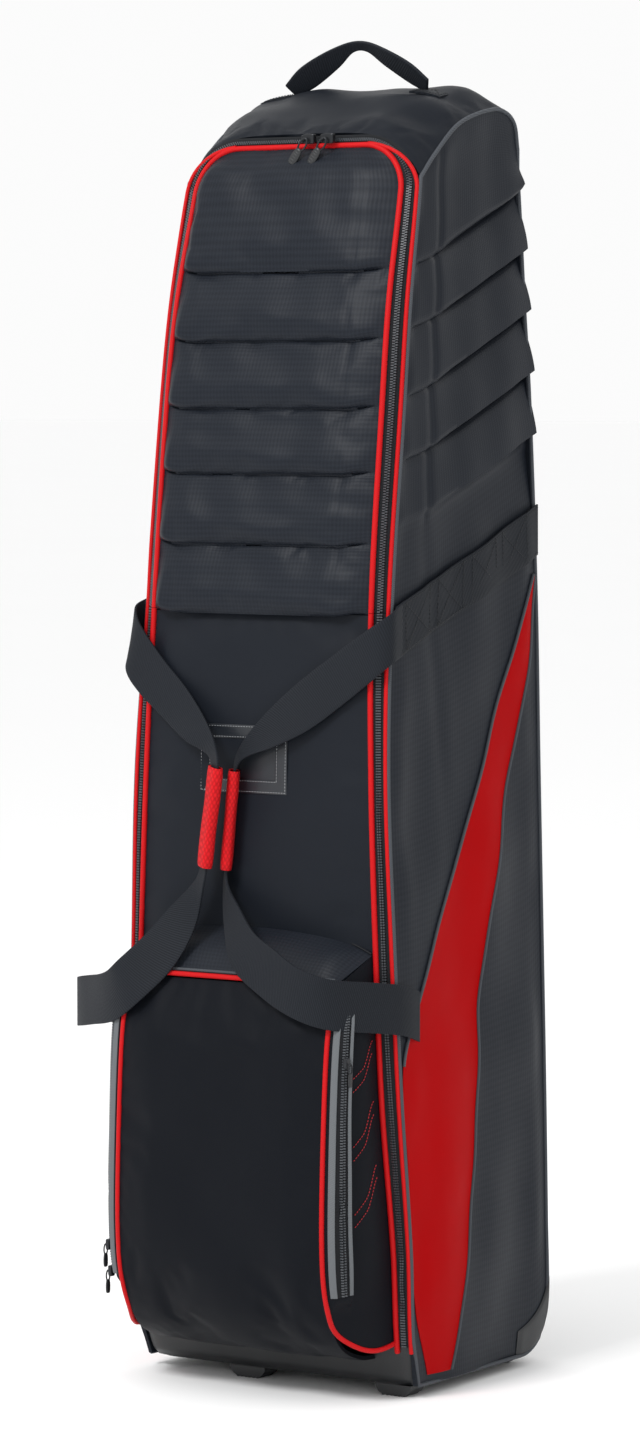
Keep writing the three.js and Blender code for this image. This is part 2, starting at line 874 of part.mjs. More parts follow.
for (const [name, side] of sides) {
  const centre = [side * wheel.x, wheel.y, wheel.radius];

  const r = wheel.radius;
  const w = wheel.width / 2;
  const profile = [
    [wheel.bore, -w],
    [17, -w],
    [19, -w + 2],
    [25, -w + 2],
    [27, -w],
    [r - 5, -w],
    [r - 1.5, -w + 4],
    [r, 0],
    [r - 1.5, w - 4],
    [r - 5, w],
    [27, w],
    [25, w - 2],
    [19, w - 2],
    [17, w],
    [wheel.bore, w],
    [wheel.bore, w - 7.4],
    [9, w - 7.4],
    [9, -w + 7.4],
    [wheel.bore, -w + 7.4],
    [wheel.bore, -w],
  ].map(([a, b]) => new THREE.Vector2(a, b));
  const turned = new THREE.LatheGeometry(profile, 32)
    .deleteAttribute("uv")
    .deleteAttribute("normal");
  add(
    name + "_wheel",
    turnOutwards(mergeVertices(turned, 1e-3)).rotateZ(Math.PI / 2).translate(...centre),
    tyreGrey,
  );

  const outerRace = wheel.bore - 0.3;
  const bearing = solidOf(rod(outerRace, 7, [centre[0] - w + 3.6, centre[1], centre[2]]))
    .add(solidOf(rod(outerRace, 7, [centre[0] + w - 3.6, centre[1], centre[2]])))
    .add(solidOf(rod(6.5, wheel.width - 2, centre)))
    .subtract(solidOf(rod(axleHole, wheel.width + 4, centre)));
  add(name + "_wheel_bearings", geometryOf(bearing), steel);

  const axle = solidOf(rod(axleRadius, 42, centre)).add(
    solidOf(rod(6, 3, [centre[0] - side * 22.4, centre[1], centre[2]], 6)),
  );
  add(name + "_axle", geometryOf(axle), steel);

  const [x0, x1] = [wheel.x - 20, wheel.x + 20];
  const arch = [];
  for (let degrees = 180; degrees >= 0; degrees -= 15) {
    const turn = THREE.MathUtils.degToRad(degrees);
    arch.push([wheel.y + 43 * Math.cos(turn), wheel.radius + 43 * Math.sin(turn)]);
  }
  const outline = [
    [wheel.y - 43, floorTop],
    ...arch,
    [wheel.y + 36, 22],
    [wheel.y + 22, floorTop],
  ];
  const housing = solidOf(
    plate(outline, x1 - x0)
      .rotateY(Math.PI / 2)
      .rotateX(Math.PI / 2)
      .translate(side > 0 ? x0 : -x1, 0, 0),
  )
    .subtract(solidOf(rod(39.5, wheel.width + 3, centre, 32)))
    .subtract(
      solidOf(box(centre[0] - 13.5, centre[0] + 13.5, wheel.y - 39.5, wheel.y + 60, -5, wheel.radius)),
    )
    .subtract(solidOf(rod(axleHole, 60, centre)));
  add(name + "_wheel_housing", geometryOf(housing), mouldedBlack);
}

// ---------------------------------------------------------------- inner strap

const innerBack = (z) => back(z) - wall - 0.6 - 3;
add(
  "inner_strap",
  sheet(
    (u, v) => {
      const z = mix(700, 738, v);
      return new THREE.Vector3(mix(-128, 60, u), innerBack(z), z);
    },
    2,
    8,
    1,
  ),
  webbingBlack,
);
add(
  "inner_buckle",
  plate(roundedOutline(62, 100, 697, 741, 5, 3), 8)
    .rotateX(Math.PI / 2)
    .translate(0, back(720) - wall - 2, 0),
  mouldedBlack,
);

export default travelCase;
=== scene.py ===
"""Golf travel case: a soft shell with a quilted flap, a front pocket, carry handles and wheels."""

import json
import logging
import math
from dataclasses import dataclass, field
from enum import Enum
from typing import Callable, Iterable, Sequence

import bpy
import numpy as np
from mathutils import Matrix, Vector


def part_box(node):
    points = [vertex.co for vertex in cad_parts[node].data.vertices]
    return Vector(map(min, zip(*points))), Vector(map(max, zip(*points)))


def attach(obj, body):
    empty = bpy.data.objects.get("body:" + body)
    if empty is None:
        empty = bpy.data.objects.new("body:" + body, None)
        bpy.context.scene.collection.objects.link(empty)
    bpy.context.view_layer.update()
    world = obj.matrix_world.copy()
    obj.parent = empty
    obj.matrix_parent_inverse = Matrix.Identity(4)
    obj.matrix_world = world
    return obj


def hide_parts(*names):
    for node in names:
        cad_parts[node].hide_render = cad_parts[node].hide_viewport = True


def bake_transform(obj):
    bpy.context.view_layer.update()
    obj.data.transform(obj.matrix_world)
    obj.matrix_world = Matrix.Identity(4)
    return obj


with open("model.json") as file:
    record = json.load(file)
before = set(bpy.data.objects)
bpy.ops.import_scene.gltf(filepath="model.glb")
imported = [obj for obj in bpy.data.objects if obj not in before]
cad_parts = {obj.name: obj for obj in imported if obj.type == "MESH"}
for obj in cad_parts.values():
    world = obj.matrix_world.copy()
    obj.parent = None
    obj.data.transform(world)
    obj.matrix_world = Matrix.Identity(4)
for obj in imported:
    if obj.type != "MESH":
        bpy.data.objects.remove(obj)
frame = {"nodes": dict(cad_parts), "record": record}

log = logging.getLogger("travel_case")

Array = np.ndarray
Place = Callable[[Array, Array], tuple[Array, Array, Array]]

SHELL_MIDDLE = (0.025, 0.0425)  # where the shell's own middle stands in the frame
SIDES = (("left", -1), ("right", 1))
WEBBING = 0.0024  # thickness of the webbing
WALL = 0.004  # thickness of the padded walls
TAPE = 0.0008  # thickness of the zip tapes
POLE = 2e-5  # points nearer than this on a rolled-up grid are one point
TOOTH = (0.0030, 0.0016, 0.0014)  # size of one zip tooth
TOOTH_PITCH = 0.0027
CLOTH_STEPS = 20  # steps that a panel gets to settle


# ---------------------------------------------------------------- smooth curves


def smooth(t: Array) -> Array:
    """Returns t from 0 to 1 with a soft start and end."""
    t = np.clip(t, 0.0, 1.0)
    return t * t * (3 - 2 * t)


def mix(a: Array, b: Array, t: Array) -> Array:
    """Returns the value between a and b at t."""
    return a + (b - a) * t


def hermite(x: Array, xs: Sequence[float], ys: Sequence[float]) -> Array:
    """Smooth value through the points (xs, ys), each slope set by the point's neighbours.

    Args:
        x: Where the value is wanted.
        xs: Places of the points, rising.
        ys: Values at those places.

    Returns:
        The values at x.
    """
    px, py = np.asarray(xs, float), np.asarray(ys, float)
    last = len(px) - 1
    before = np.maximum(np.arange(last + 1) - 1, 0)
    after = np.minimum(np.arange(last + 1) + 1, last)
    slopes = (py[after] - py[before]) / (px[after] - px[before])
    x = np.clip(np.asarray(x, float), px[0], px[last])
    i = np.clip(np.searchsorted(px, x, side="right") - 1, 0, last - 1)
    span = px[i + 1] - px[i]
    t = (x - px[i]) / span
    return (
        (2 * t**3 - 3 * t**2 + 1) * py[i]
        + (t**3 - 2 * t**2 + t) * span * slopes[i]
        + (3 * t**2 - 2 * t**3) * py[i + 1]
        + (t**3 - t**2) * span * slopes[i + 1]
    )


def flowing(points: Sequence[Sequence[float]], t: Array) -> Array:
    """Places on one smooth curve through points.

    Args:
        points: The curve's points.
        t: Shares of the way, from 0 to 1.

    Returns:
        The places as rows.
    """
    steps = np.linspace(0, 1, len(points))
    columns = [hermite(t, steps, [p[k] for p in points]) for k in range(len(points[0]))]
    return np.stack(columns, axis=-1)


def ripple(a: Array, b: Array, seed: int, wave: float) -> Array:
    """Soft uneven surface made of a few crossing waves.

    Args:
        a: First coordinate, in metres.
        b: Second coordinate, in metres.
        seed: Chooses the waves.
        wave: Length of the main waves, in metres.

    Returns:
        Heights between about -1 and 1.
    """
    chance = np.random.RandomState(seed)
    total = np.zeros(np.broadcast(a, b).shape)
    for k in range(6):
        turn = chance.uniform(0, math.pi)
        length = wave * chance.uniform(0.6, 1.6)
        shift = chance.uniform(0, 2 * math.pi)
        run = a * math.cos(turn) + b * math.sin(turn)
        total = total + np.sin(2 * math.pi * run / length + shift)
    return total / 3.2


# ---------------------------------------------------------------- mesh work


def choose(piece: bpy.types.Object) -> None:
    """Makes a piece the only selected and active object.

    Args:
        piece: The piece.
    """
    bpy.ops.object.select_all(action="DESELECT")
    piece.select_set(True)
    bpy.context.view_layer.objects.active = piece


def finish_modifier(piece: bpy.types.Object, kind: str, **settings: object) -> None:
    """Adds a modifier and applies it.

    Args:
        piece: The piece.
        kind: The modifier's type.
        settings: Its settings by name.
    """
    choose(piece)
    modifier = piece.modifiers.new(kind.title(), kind)
    for key, value in settings.items():
        setattr(modifier, key, value)
    bpy.ops.object.modifier_apply(modifier=modifier.name)


def soften(piece: bpy.types.Object, degrees: float = 40) -> None:
    """Shades piece smooth, with edges sharper than degrees kept."""
    choose(piece)
    bpy.ops.object.shade_smooth_by_angle(angle=math.radians(degrees))


def close_up(piece: bpy.types.Object, gap: float) -> None:
    """Joins points of piece closer than gap and turns every face outwards.

    Args:
        piece: The piece.
        gap: Widest gap that is closed, in metres.
    """
    choose(piece)
    bpy.ops.object.mode_set(mode="EDIT")
    bpy.ops.mesh.select_all(action="SELECT")
    bpy.ops.mesh.remove_doubles(threshold=gap)
    bpy.ops.mesh.normals_make_consistent(inside=False)
    bpy.ops.object.mode_set(mode="OBJECT")


def to_frame(x: Array, y: Array, z: Array) -> Array:
    """Returns shell coordinates as rows of frame coordinates."""
    x, y, z = np.broadcast_arrays(x, y, z)
    return np.stack([x + SHELL_MIDDLE[0], y + SHELL_MIDDLE[1], z], axis=-1)


def panel(
    name: str,
    place: Place,
    steps: tuple[int, int],
    size: tuple[float, float],
    facing: tuple[float, float, float],
    thickness: float = WALL,
    billow: tuple[float, float, float] | None = None,
) -> bpy.types.Object:
    """A sheet of cloth laid out from a grid.

    Args:
        name: The piece's name.
        place: Gives shell x, y and z at u and v from 0 to 1.
        steps: Grid divisions along u and v.
        size: Real width and height, for the weave.
        facing: Rough outward direction.
        thickness: Thickness, added behind the placed face.
        billow: Pressure, spare cloth and farthest movement, if it settles as cloth.

    Returns:
        The new piece.
    """
    bpy.ops.object.select_all(action="DESELECT")
    bpy.ops.mesh.primitive_grid_add(x_subdivisions=steps[0], y_subdivisions=steps[1], size=1)
    piece = bpy.context.object
    piece.name = piece.data.name = name
    mesh = piece.data
    flat = np.empty(len(mesh.vertices) * 3)
    mesh.vertices.foreach_get("co", flat)
    flat = flat.reshape(-1, 3)
    shaped = to_frame(*place(flat[:, 0] + 0.5, flat[:, 1] + 0.5))
    mesh.vertices.foreach_set("co", shaped.ravel())
    layer = mesh.uv_layers.active
    uv = np.empty(len(layer.data) * 2)
    layer.data.foreach_get("uv", uv)
    layer.data.foreach_set("uv", (uv.reshape(-1, 2) * size).ravel())
    mesh.update()
    outward = sum((p.normal * p.area for p in mesh.polygons), Vector())
    if outward.dot(Vector(facing)) < 0:
        choose(piece)
        bpy.ops.object.mode_set(mode="EDIT")
        bpy.ops.mesh.select_all(action="SELECT")
        bpy.ops.mesh.flip_normals()
        bpy.ops.object.mode_set(mode="OBJECT")
    if billow:
        settle(piece, np.abs(flat[:, :2]).max(axis=1) > 0.499, *billow)
    if thickness:
        finish_modifier(piece, "SOLIDIFY", thickness=thickness, offset=-1.0, use_even_offset=False)
    soften(piece, 60)
    return piece


def tube(name: str, path: Array, radius: float, closed: bool = False) -> bpy.types.Object:
    """A round cord through frame points.

    Args:
        name: The piece's name.
        path: Points as rows.
        radius: Radius of the cord.
        closed: Joins the last point to the first.

    Returns:
        The cord as a mesh.
    """
    curve = bpy.data.curves.new(name, "CURVE")
    curve.dimensions = "3D"
    spline = curve.splines.new("POLY")
    spline.points.add(len(path) - 1)
    spline.points.foreach_set("co", np.column_stack([path, np.ones(len(path))]).ravel())
    spline.use_cyclic_u = closed
    curve.bevel_depth = radius
    curve.bevel_resolution = 2
    curve.use_fill_caps = not closed
    piece = bpy.data.objects.new(name, curve)
    bpy.context.collection.objects.link(piece)
    choose(piece)
    bpy.ops.object.convert(target="MESH")
    piece = bpy.context.object
    close_up(piece, 1e-5)
    soften(piece, 50)
    return piece


def ribbon(
    name: str,
    centre: Array,
    across: Array,
    thickness: float = WEBBING,
    wide: int = 8,
) -> bpy.types.Object:
    """A flat strap along a path.

    Args:
        name: The piece's name.
        centre: Middle line as frame points.
        across: From the middle line to one edge, as rows.
        thickness: Thickness of the strap.
        wide: Divisions over the width.

    Returns:
        The strap.
    """
    count = len(centre)
    length = float(np.linalg.norm(np.diff(centre, axis=0), axis=1).sum())
    reach = float(np.linalg.norm(across, axis=1).max())

    def place(u: Array, v: Array) -> tuple[Array, Array, Array]:
        """Returns the strap's face at u over the width and v along it."""
        row = np.clip(np.rint(v * (count - 1)).astype(int), 0, count - 1)
        at = centre[row] + across[row] * (2 * u - 1)[:, None]
        return at[:, 0] - SHELL_MIDDLE[0], at[:, 1] - SHELL_MIDDLE[1], at[:, 2]

    piece = panel(name, place, (wide, count - 1), (2 * reach, length), (0, -1, 0), 0)
    finish_modifier(piece, "SOLIDIFY", thickness=thickness, offset=0.0, use_even_offset=False)
    finish_modifier(piece, "BEVEL", width=thickness * 0.3, segments=2, limit_method="ANGLE")
    soften(piece, 40)
    return piece


def repeated(name: str, unit: bpy.types.Object, places: Iterable[Matrix]) -> bpy.types.Object:
    """Copies a small unit to many places as one piece.

    Args:
        name: The piece's name.
        unit: The modelled unit, used up.
        places: Where each copy goes.

    Returns:
        One piece with all copies.
    """
    verts = np.array([v.co[:] for v in unit.data.vertices])
    faces = [tuple(p.vertices) for p in unit.data.polygons]
    points, polygons = [], []
    for k, matrix in enumerate(places):
        m = np.array(matrix)
        points.append(verts @ m[:3, :3].T + m[:3, 3])
        polygons += [tuple(i + k * len(verts) for i in f) for f in faces]
    bpy.data.objects.remove(unit)
    mesh = bpy.data.meshes.new(name)
    mesh.from_pydata(np.concatenate(points).tolist(), [], polygons)
    piece = bpy.data.objects.new(name, mesh)
    bpy.context.collection.objects.link(piece)
    soften(piece, 50)
    return piece


def rounded(path: Array, reach: float) -> Array:
    """Rounds the corners of a line.

    Args:
        path: Points as rows.
        reach: About how long each rounded stretch is.

    Returns:
        Evenly spaced points as rows.
    """
    run = np.concatenate([[0.0], np.cumsum(np.linalg.norm(np.diff(path, axis=0), axis=1))])
    at = np.linspace(0, run[-1], max(40, int(run[-1] / 0.003)))
    even = np.stack([np.interp(at, run, path[:, k]) for k in range(3)], axis=-1)
    span = max(1, int(reach / (at[1] - at[0]) / 2))
    soft = even.copy()
    for k in range(len(even)):
        w = min(span, k, len(even) - 1 - k)
        soft[k] = even[k - w : k + w + 1].mean(axis=0)
    return soft


def spaced(path: Array, pitch: float, start: float = 0.0) -> tuple[Array, Array]:
    """Places set out evenly along a line.

    Args:
        path: Points as rows.
        pitch: Distance between places.
        start: How far along the line the first pitch begins.

    Returns:
        The places and the directions there, both as rows.
    """
    steps = np.linalg.norm(np.diff(path, axis=0), axis=1)
    run = np.concatenate([[0.0], np.cumsum(steps)])
    at = np.arange(start + pitch / 2, run[-1], pitch)
    points = np.stack([np.interp(at, run, path[:, k]) for k in range(3)], axis=-1)
    ahead = np.stack([np.interp(at + pitch / 4, run, path[:, k]) for k in range(3)], axis=-1)
    behind = np.stack([np.interp(at - pitch / 4, run, path[:, k]) for k in range(3)], axis=-1)
    ways = ahead - behind
    return points, ways / np.linalg.norm(ways, axis=1)[:, None]


def settle(
    piece: bpy.types.Object, sewn: Array, pressure: float, surplus: float, most: float
) -> None:
    """Lets a sewn panel billow as cloth between the places where it is held.

    Args:
        piece: The panel, before it gets its thickness.
        sewn: True for each vertex that stays in place.
        pressure: Push of the filling from inside.
        surplus: Share of spare cloth, which gathers into folds.
        most: Farthest any vertex may move, in metres.
    """
    scene = bpy.context.scene
    mesh = piece.data
    start = np.empty(len(mesh.vertices) * 3)
    mesh.vertices.foreach_get("co", start)
    group = piece.vertex_groups.new(name="sewn")
    group.add([int(k) for k in np.flatnonzero(sewn)], 1.0, "REPLACE")
    choose(piece)
    cloth = piece.modifiers.new("Cloth", "CLOTH")
    rules = cloth.settings
    rules.quality = 4
    rules.mass = 0.15
    rules.vertex_group_mass = group.name
    rules.tension_stiffness = rules.compression_stiffness = 12
    rules.shear_stiffness = 5
    rules.bending_stiffness = 0.4
    rules.use_pressure = True
    rules.uniform_pressure_force = pressure
    rules.shrink_min = -surplus
    rules.effector_weights.gravity = 0
    cloth.point_cache.frame_start = 1
    cloth.point_cache.frame_end = CLOTH_STEPS
    for step in range(1, CLOTH_STEPS + 1):
        scene.frame_set(step)
    bpy.ops.object.modifier_apply(modifier=cloth.name)
    scene.frame_set(1)
    end = np.empty_like(start)
    mesh.vertices.foreach_get("co", end)
    move = (end - start).reshape(-1, 3)
    length = np.linalg.norm(move, axis=1)
    move *= np.minimum(1, most / np.maximum(length, 1e-9))[:, None]
    mesh.vertices.foreach_set("co", (start.reshape(-1, 3) + move).ravel())
    mesh.update()
    piece.vertex_groups.clear()
    log.info("%s: settled, moved %.1f mm at most", piece.name, 1000 * min(most, length.max()))


def grid_place(piece: bpy.types.Object, size: tuple[float, float]) -> tuple[Array, Array]:
    """Reads each vertex's place in the grid back from the panel's map.

    Args:
        piece: A panel.
        size: Real width and height that its map was made with.

    Returns:
        u and v from 0 to 1 for each vertex.
    """
    layer = piece.data.uv_layers.active
    uv = np.empty(len(layer.data) * 2)
    layer.data.foreach_get("uv", uv)
    corner = np.empty(len(piece.data.loops), dtype=int)
    piece.data.loops.foreach_get("vertex_index", corner)
    flat = np.zeros((len(piece.data.vertices), 2))
    flat[corner] = uv.reshape(-1, 2) / size
    return flat[:, 0], flat[:, 1]


def stitching(
    name: str, paths: Sequence[Array], pitch: float = 0.0045, thread: float = 0.00045
) -> bpy.types.Object:
    """Rows of short sewn threads.

    Args:
        name: The piece's name.
        paths: Lines of frame points, one for each row.
        pitch: Distance between stitches.
        thread: Radius of the thread.

    Returns:
        One piece with every stitch.
    """
    bpy.ops.object.select_all(action="DESELECT")
    bpy.ops.mesh.primitive_uv_sphere_add(segments=6, ring_count=4, radius=1)
    unit = bpy.context.object
    places = []
    for path in paths:
        for point, way in zip(*spaced(path, pitch)):
            turn = Vector(way).to_track_quat("Z", "Y").to_matrix().to_4x4()
            size = Matrix.Diagonal((thread, thread, pitch * 0.36, 1))
            places.append(Matrix.Translation(point) @ turn @ size)
    return repeated(name, unit, places)


# ---------------------------------------------------------------- finishes


class Pattern(Enum):
    """How a cloth is woven."""

    PLAIN = "plain"
    DIAMOND = "diamond"
    RIBBED = "ribbed"
    KNIT = "knit"


class Recipe:
    """A material's nodes, built one by one."""

    def __init__(self, name: str) -> None:
        """Starts a material with only a shader and an output.

        Args:
            name: The material's name.
        """
        self.material = bpy.data.materials.new(name)
        self.material.use_nodes = True
        self.tree = self.material.node_tree
        self.shader = self.tree.nodes["Principled BSDF"]

    def node(self, kind: str, **settings: object) -> bpy.types.Node:
        """Adds a node.

        Args:
            kind: The node's type.
            settings: Its properties by name.

        Returns:
            The node.
        """
        made = self.tree.nodes.new(kind)
        for key, value in settings.items():
            setattr(made, key, value)
        return made

    def feed(self, socket: bpy.types.NodeSocket, value: object) -> None:
        """Feeds a socket.

        Args:
            socket: The socket to feed.
            value: A socket to link to it, or a plain value to set.
        """
        if isinstance(value, bpy.types.NodeSocket):
            self.tree.links.new(value, socket)
        else:
            socket.default_value = value

    def calc(self, operation: str, a: object, b: object = 0.0) -> bpy.types.NodeSocket:
        """Adds a maths step.

        Args:
            operation: The step.
            a: First value or socket.
            b: Second value or socket.

        Returns:
            The result.
        """
        made = self.node("ShaderNodeMath", operation=operation)
        self.feed(made.inputs[0], a)
        self.feed(made.inputs[1], b)
        return made.outputs[0]

    def noise(self, scale: float, detail: float = 3.0) -> bpy.types.NodeSocket:
        """Adds soft noise on object coordinates.

        Args:
            scale: How fine it is.
            detail: How many finer layers it has.

        Returns:
            The noise.
        """
        where = self.node("ShaderNodeTexCoord")
        made = self.node("ShaderNodeTexNoise")
        made.inputs["Scale"].default_value = scale
        made.inputs["Detail"].default_value = detail
        self.tree.links.new(where.outputs["Object"], made.inputs["Vector"])
        return made.outputs[0]

    def blend(self, share: object, low: Sequence[float], high: Sequence[float]) -> bpy.types.NodeSocket:
        """Mixes two colours.

        Args:
            share: 0 for low, 1 for high.
            low: First colour.
            high: Second colour.

        Returns:
            The colour.
        """
        made = self.node("ShaderNodeMix", data_type="RGBA")
        self.feed(made.inputs[0], share)
        made.inputs[6].default_value = (*low, 1)
        made.inputs[7].default_value = (*high, 1)
        return made.outputs[2]

    def bump(
        self, height: object, distance: float, strength: float, under: object = None
    ) -> bpy.types.NodeSocket:
        """Returns a normal raised by height, over an earlier normal if there is one.

        Args:
            height: Height of the surface, a socket or a value.
            distance: How deep the relief is, in metres.
            strength: Share of it that shows.
            under: The normal below it.

        Returns:
            The normal.
        """
        made = self.node("ShaderNodeBump")
        made.inputs["Distance"].default_value = distance
        made.inputs["Strength"].default_value = strength
        self.feed(made.inputs["Height"], height)
        if under is not None:
            self.feed(made.inputs["Normal"], under)
        return made.outputs[0]


@dataclass(frozen=True)
class Cloth:
    """A woven or knitted cloth; coordinates come from the piece's own map, in metres."""

    name: str
    slot: str
    dark: tuple[float, float, float]
    light: tuple[float, float, float]
    pattern: Pattern = Pattern.PLAIN
    period: float = 0.003
    roughness: float = 0.6
    sheen: float = 0.2
    relief: float = 0.35
    crumple: float = 0.25
    own_map: bool = True
    gloss: float = 0.2

    def material(self) -> bpy.types.Material:
        """Builds the cloth's material.

        Returns:
            The material, made once and reused.
        """
        if self.name in bpy.data.materials:
            return bpy.data.materials[self.name]
        r = Recipe(self.name)
        where = r.node("ShaderNodeTexCoord")
        split = r.node("ShaderNodeSeparateXYZ")
        r.tree.links.new(where.outputs["UV" if self.own_map else "Object"], split.inputs[0])
        rate = 2 * math.pi / self.period
        u = r.calc("MULTIPLY", split.outputs[0], rate)
        v = r.calc("MULTIPLY", split.outputs[1 if self.own_map else 2], rate)
        if self.pattern is Pattern.PLAIN:
            weave = r.calc("MULTIPLY", r.calc("SINE", u), r.calc("SINE", v))
        elif self.pattern is Pattern.RIBBED:
            slant = r.calc("ADD", v, r.calc("MULTIPLY", u, 0.35))
            weave = r.calc("MULTIPLY_ADD", r.calc("SINE", slant), 0.7)
        else:
            plus = r.calc("SINE", r.calc("MULTIPLY", r.calc("ADD", u, v), 0.5))
            minus = r.calc("SINE", r.calc("MULTIPLY", r.calc("SUBTRACT", u, v), 0.5))
            weave = r.calc("MULTIPLY", plus, minus)
            if self.pattern is Pattern.KNIT:
                weave = r.calc("ABSOLUTE", weave)
        share = r.calc("MULTIPLY_ADD", weave, 0.5)
        share.node.inputs[2].default_value = 0.5
        blotch = r.calc("MULTIPLY_ADD", r.noise(14.0, 5.0), 0.3)
        blotch.node.inputs[2].default_value = -0.15
        tone = r.calc("ADD", share, blotch)
        tone.node.use_clamp = True
        r.feed(r.shader.inputs["Base Color"], r.blend(tone, self.dark, self.light))
        fuzz = r.calc("ADD", share, r.calc("MULTIPLY", r.noise(900.0, 1.0), 0.35))
        normal = r.bump(r.noise(11.0, 2.0), 0.012, self.crumple)
        normal = r.bump(fuzz, 0.0005, self.relief, normal)
        r.feed(r.shader.inputs["Normal"], normal)
        r.shader.inputs["Roughness"].default_value = self.roughness
        r.shader.inputs["Sheen Weight"].default_value = self.sheen
        r.shader.inputs["Sheen Roughness"].default_value = 0.45
        r.shader.inputs["Specular IOR Level"].default_value = self.gloss
        return r.material


@dataclass(frozen=True)
class Hard:
    """A moulded, painted or metal finish with fine grain and rubbed patches."""

    name: str
    slot: str
    dark: tuple[float, float, float]
    light: tuple[float, float, float]
    roughness: float = 0.5
    metal: float = 0.0
    grain: float = 700.0
    relief: float = 0.2
    coat: float = 0.0

    def material(self) -> bpy.types.Material:
        """Builds the finish's material.

        Returns:
            The material, made once and reused.
        """
        if self.name in bpy.data.materials:
            return bpy.data.materials[self.name]
        r = Recipe(self.name)
        r.feed(r.shader.inputs["Base Color"], r.blend(r.noise(40.0, 6.0), self.dark, self.light))
        r.feed(r.shader.inputs["Normal"], r.bump(r.noise(self.grain, 2.0), 0.0004, self.relief))
        rub = r.calc("MULTIPLY_ADD", r.noise(25.0, 5.0), 0.2)
        rub.node.inputs[2].default_value = self.roughness - 0.1
        r.feed(r.shader.inputs["Roughness"], rub)
        r.shader.inputs["Metallic"].default_value = self.metal
        r.shader.inputs["Coat Weight"].default_value = self.coat
        return r.material


SHELL_NYLON = Cloth(
    "diamond_nylon", "shell_nylon", (0.0070, 0.0090, 0.0136), (0.0118, 0.0148, 0.0210),
    pattern=Pattern.DIAMOND, period=0.0042, roughness=0.46, sheen=0.01, relief=0.2, crumple=0.16,
    gloss=0.14,
)
PLAIN_NYLON = Cloth(
    "plain_nylon", "shell_nylon", (0.0052, 0.0068, 0.0104), (0.0096, 0.0122, 0.0176),
    period=0.0016, roughness=0.44, sheen=0.01, relief=0.25, gloss=0.12,
)
POCKET_NYLON = Cloth(
    "pocket_nylon", "dark_nylon", (0.0026, 0.0034, 0.0056), (0.0050, 0.0062, 0.0092),
    period=0.0016, roughness=0.48, sheen=0.01, relief=0.25, crumple=0.3, gloss=0.08,
)
STRAP_WEB = Cloth(
    "strap_web", "webbing", (0.0024, 0.0030, 0.0046), (0.0110, 0.0136, 0.0186),
    pattern=Pattern.RIBBED, period=0.0024, sheen=0.02, relief=0.7, crumple=0.15, gloss=0.15,
)
RED_PANEL = Cloth(
    "red_panel", "red_fabric", (0.28, 0.0004, 0.0010), (0.42, 0.0014, 0.0028),
    period=0.0018, roughness=0.5, sheen=0.0, relief=0.25, crumple=0.4, gloss=0.03,
)
RED_SLEEVE = Cloth(
    "red_sleeve", "red_grip", (0.13, 0.0004, 0.0010), (0.60, 0.0100, 0.0140),
    pattern=Pattern.KNIT, period=0.0074, roughness=0.55, sheen=0.01, relief=1.0, crumple=0.1, gloss=0.1,
)
RED_CORD = Cloth(
    "red_cord", "red_fabric", (0.42, 0.0020, 0.0035), (0.54, 0.0045, 0.0070),
    period=0.0020, roughness=0.5, sheen=0.01, relief=0.3, crumple=0.1, own_map=False, gloss=0.15,
)
GREY_CORD = Cloth(
    "grey_cord", "webbing", (0.040, 0.045, 0.053), (0.070, 0.077, 0.088),
    period=0.0020, sheen=0.03, relief=0.3, crumple=0.1, own_map=False,
)
GREY_TAPE = Cloth(
    "grey_tape", "webbing", (0.080, 0.087, 0.095), (0.125, 0.134, 0.143),
    pattern=Pattern.RIBBED, period=0.0014, sheen=0.03, relief=0.3, crumple=0.1,
)
ZIP_TAPE = Cloth(
    "zip_tape", "zip_teeth", (0.0040, 0.0045, 0.0055), (0.0100, 0.0112, 0.0135),
    pattern=Pattern.RIBBED, period=0.0012, roughness=0.75, sheen=0.03, relief=0.4, crumple=0.1,
)
PLAIN_CORD = Cloth(
    "plain_cord", "shell_nylon", (0.0040, 0.0048, 0.0066), (0.0080, 0.0094, 0.0126),
    period=0.0020, sheen=0.03, relief=0.3, crumple=0.1, own_map=False,
)
LINING = Cloth(
    "lining", "crown_padding", (0.0120, 0.0126, 0.0138), (0.0220, 0.0230, 0.0250),
    roughness=0.75, sheen=0.05, relief=0.3, crumple=0.3, own_map=False,
)
BLACK_THREAD = Hard(
    "black_thread", "webbing", (0.005, 0.006, 0.007), (0.014, 0.016, 0.019),
    roughness=0.6,
)
PALE_THREAD = Hard(
    "pale_thread", "vinyl", (0.22, 0.23, 0.24), (0.34, 0.35, 0.36),
    roughness=0.7,
)
RED_THREAD = Hard(
    "red_thread", "red_fabric", (0.36, 0.008, 0.012), (0.50, 0.016, 0.022),
    roughness=0.7,
)
ZIP_COIL = Hard(
    "zip_coil", "zip_teeth", (0.022, 0.025, 0.030), (0.075, 0.082, 0.092),
    roughness=0.4,
)
GUNMETAL = Hard(
    "gunmetal", "zip_metal", (0.008, 0.009, 0.011), (0.022, 0.024, 0.028),
    roughness=0.36, metal=0.5,
)
MOULDED = Hard(
    "grained_plastic", "moulded_black", (0.0060, 0.0068, 0.0080), (0.0130, 0.0145, 0.0165),
    roughness=0.45, grain=900.0, relief=0.35,
)
TREAD = Hard(
    "wheel_tread", "wheel_plastic", (0.010, 0.010, 0.011), (0.022, 0.022, 0.023),
    roughness=0.75, grain=500.0, relief=0.4,
)
STEEL = Hard(
    "turned_steel", "steel", (0.42, 0.42, 0.43), (0.60, 0.60, 0.61),
    roughness=0.3, metal=1.0, grain=400.0, relief=0.15,
)
VINYL = Hard(
    "window_vinyl", "vinyl", (0.006, 0.008, 0.012), (0.012, 0.015, 0.020),
    roughness=0.38, grain=300.0, relief=0.25, coat=0.15,
)
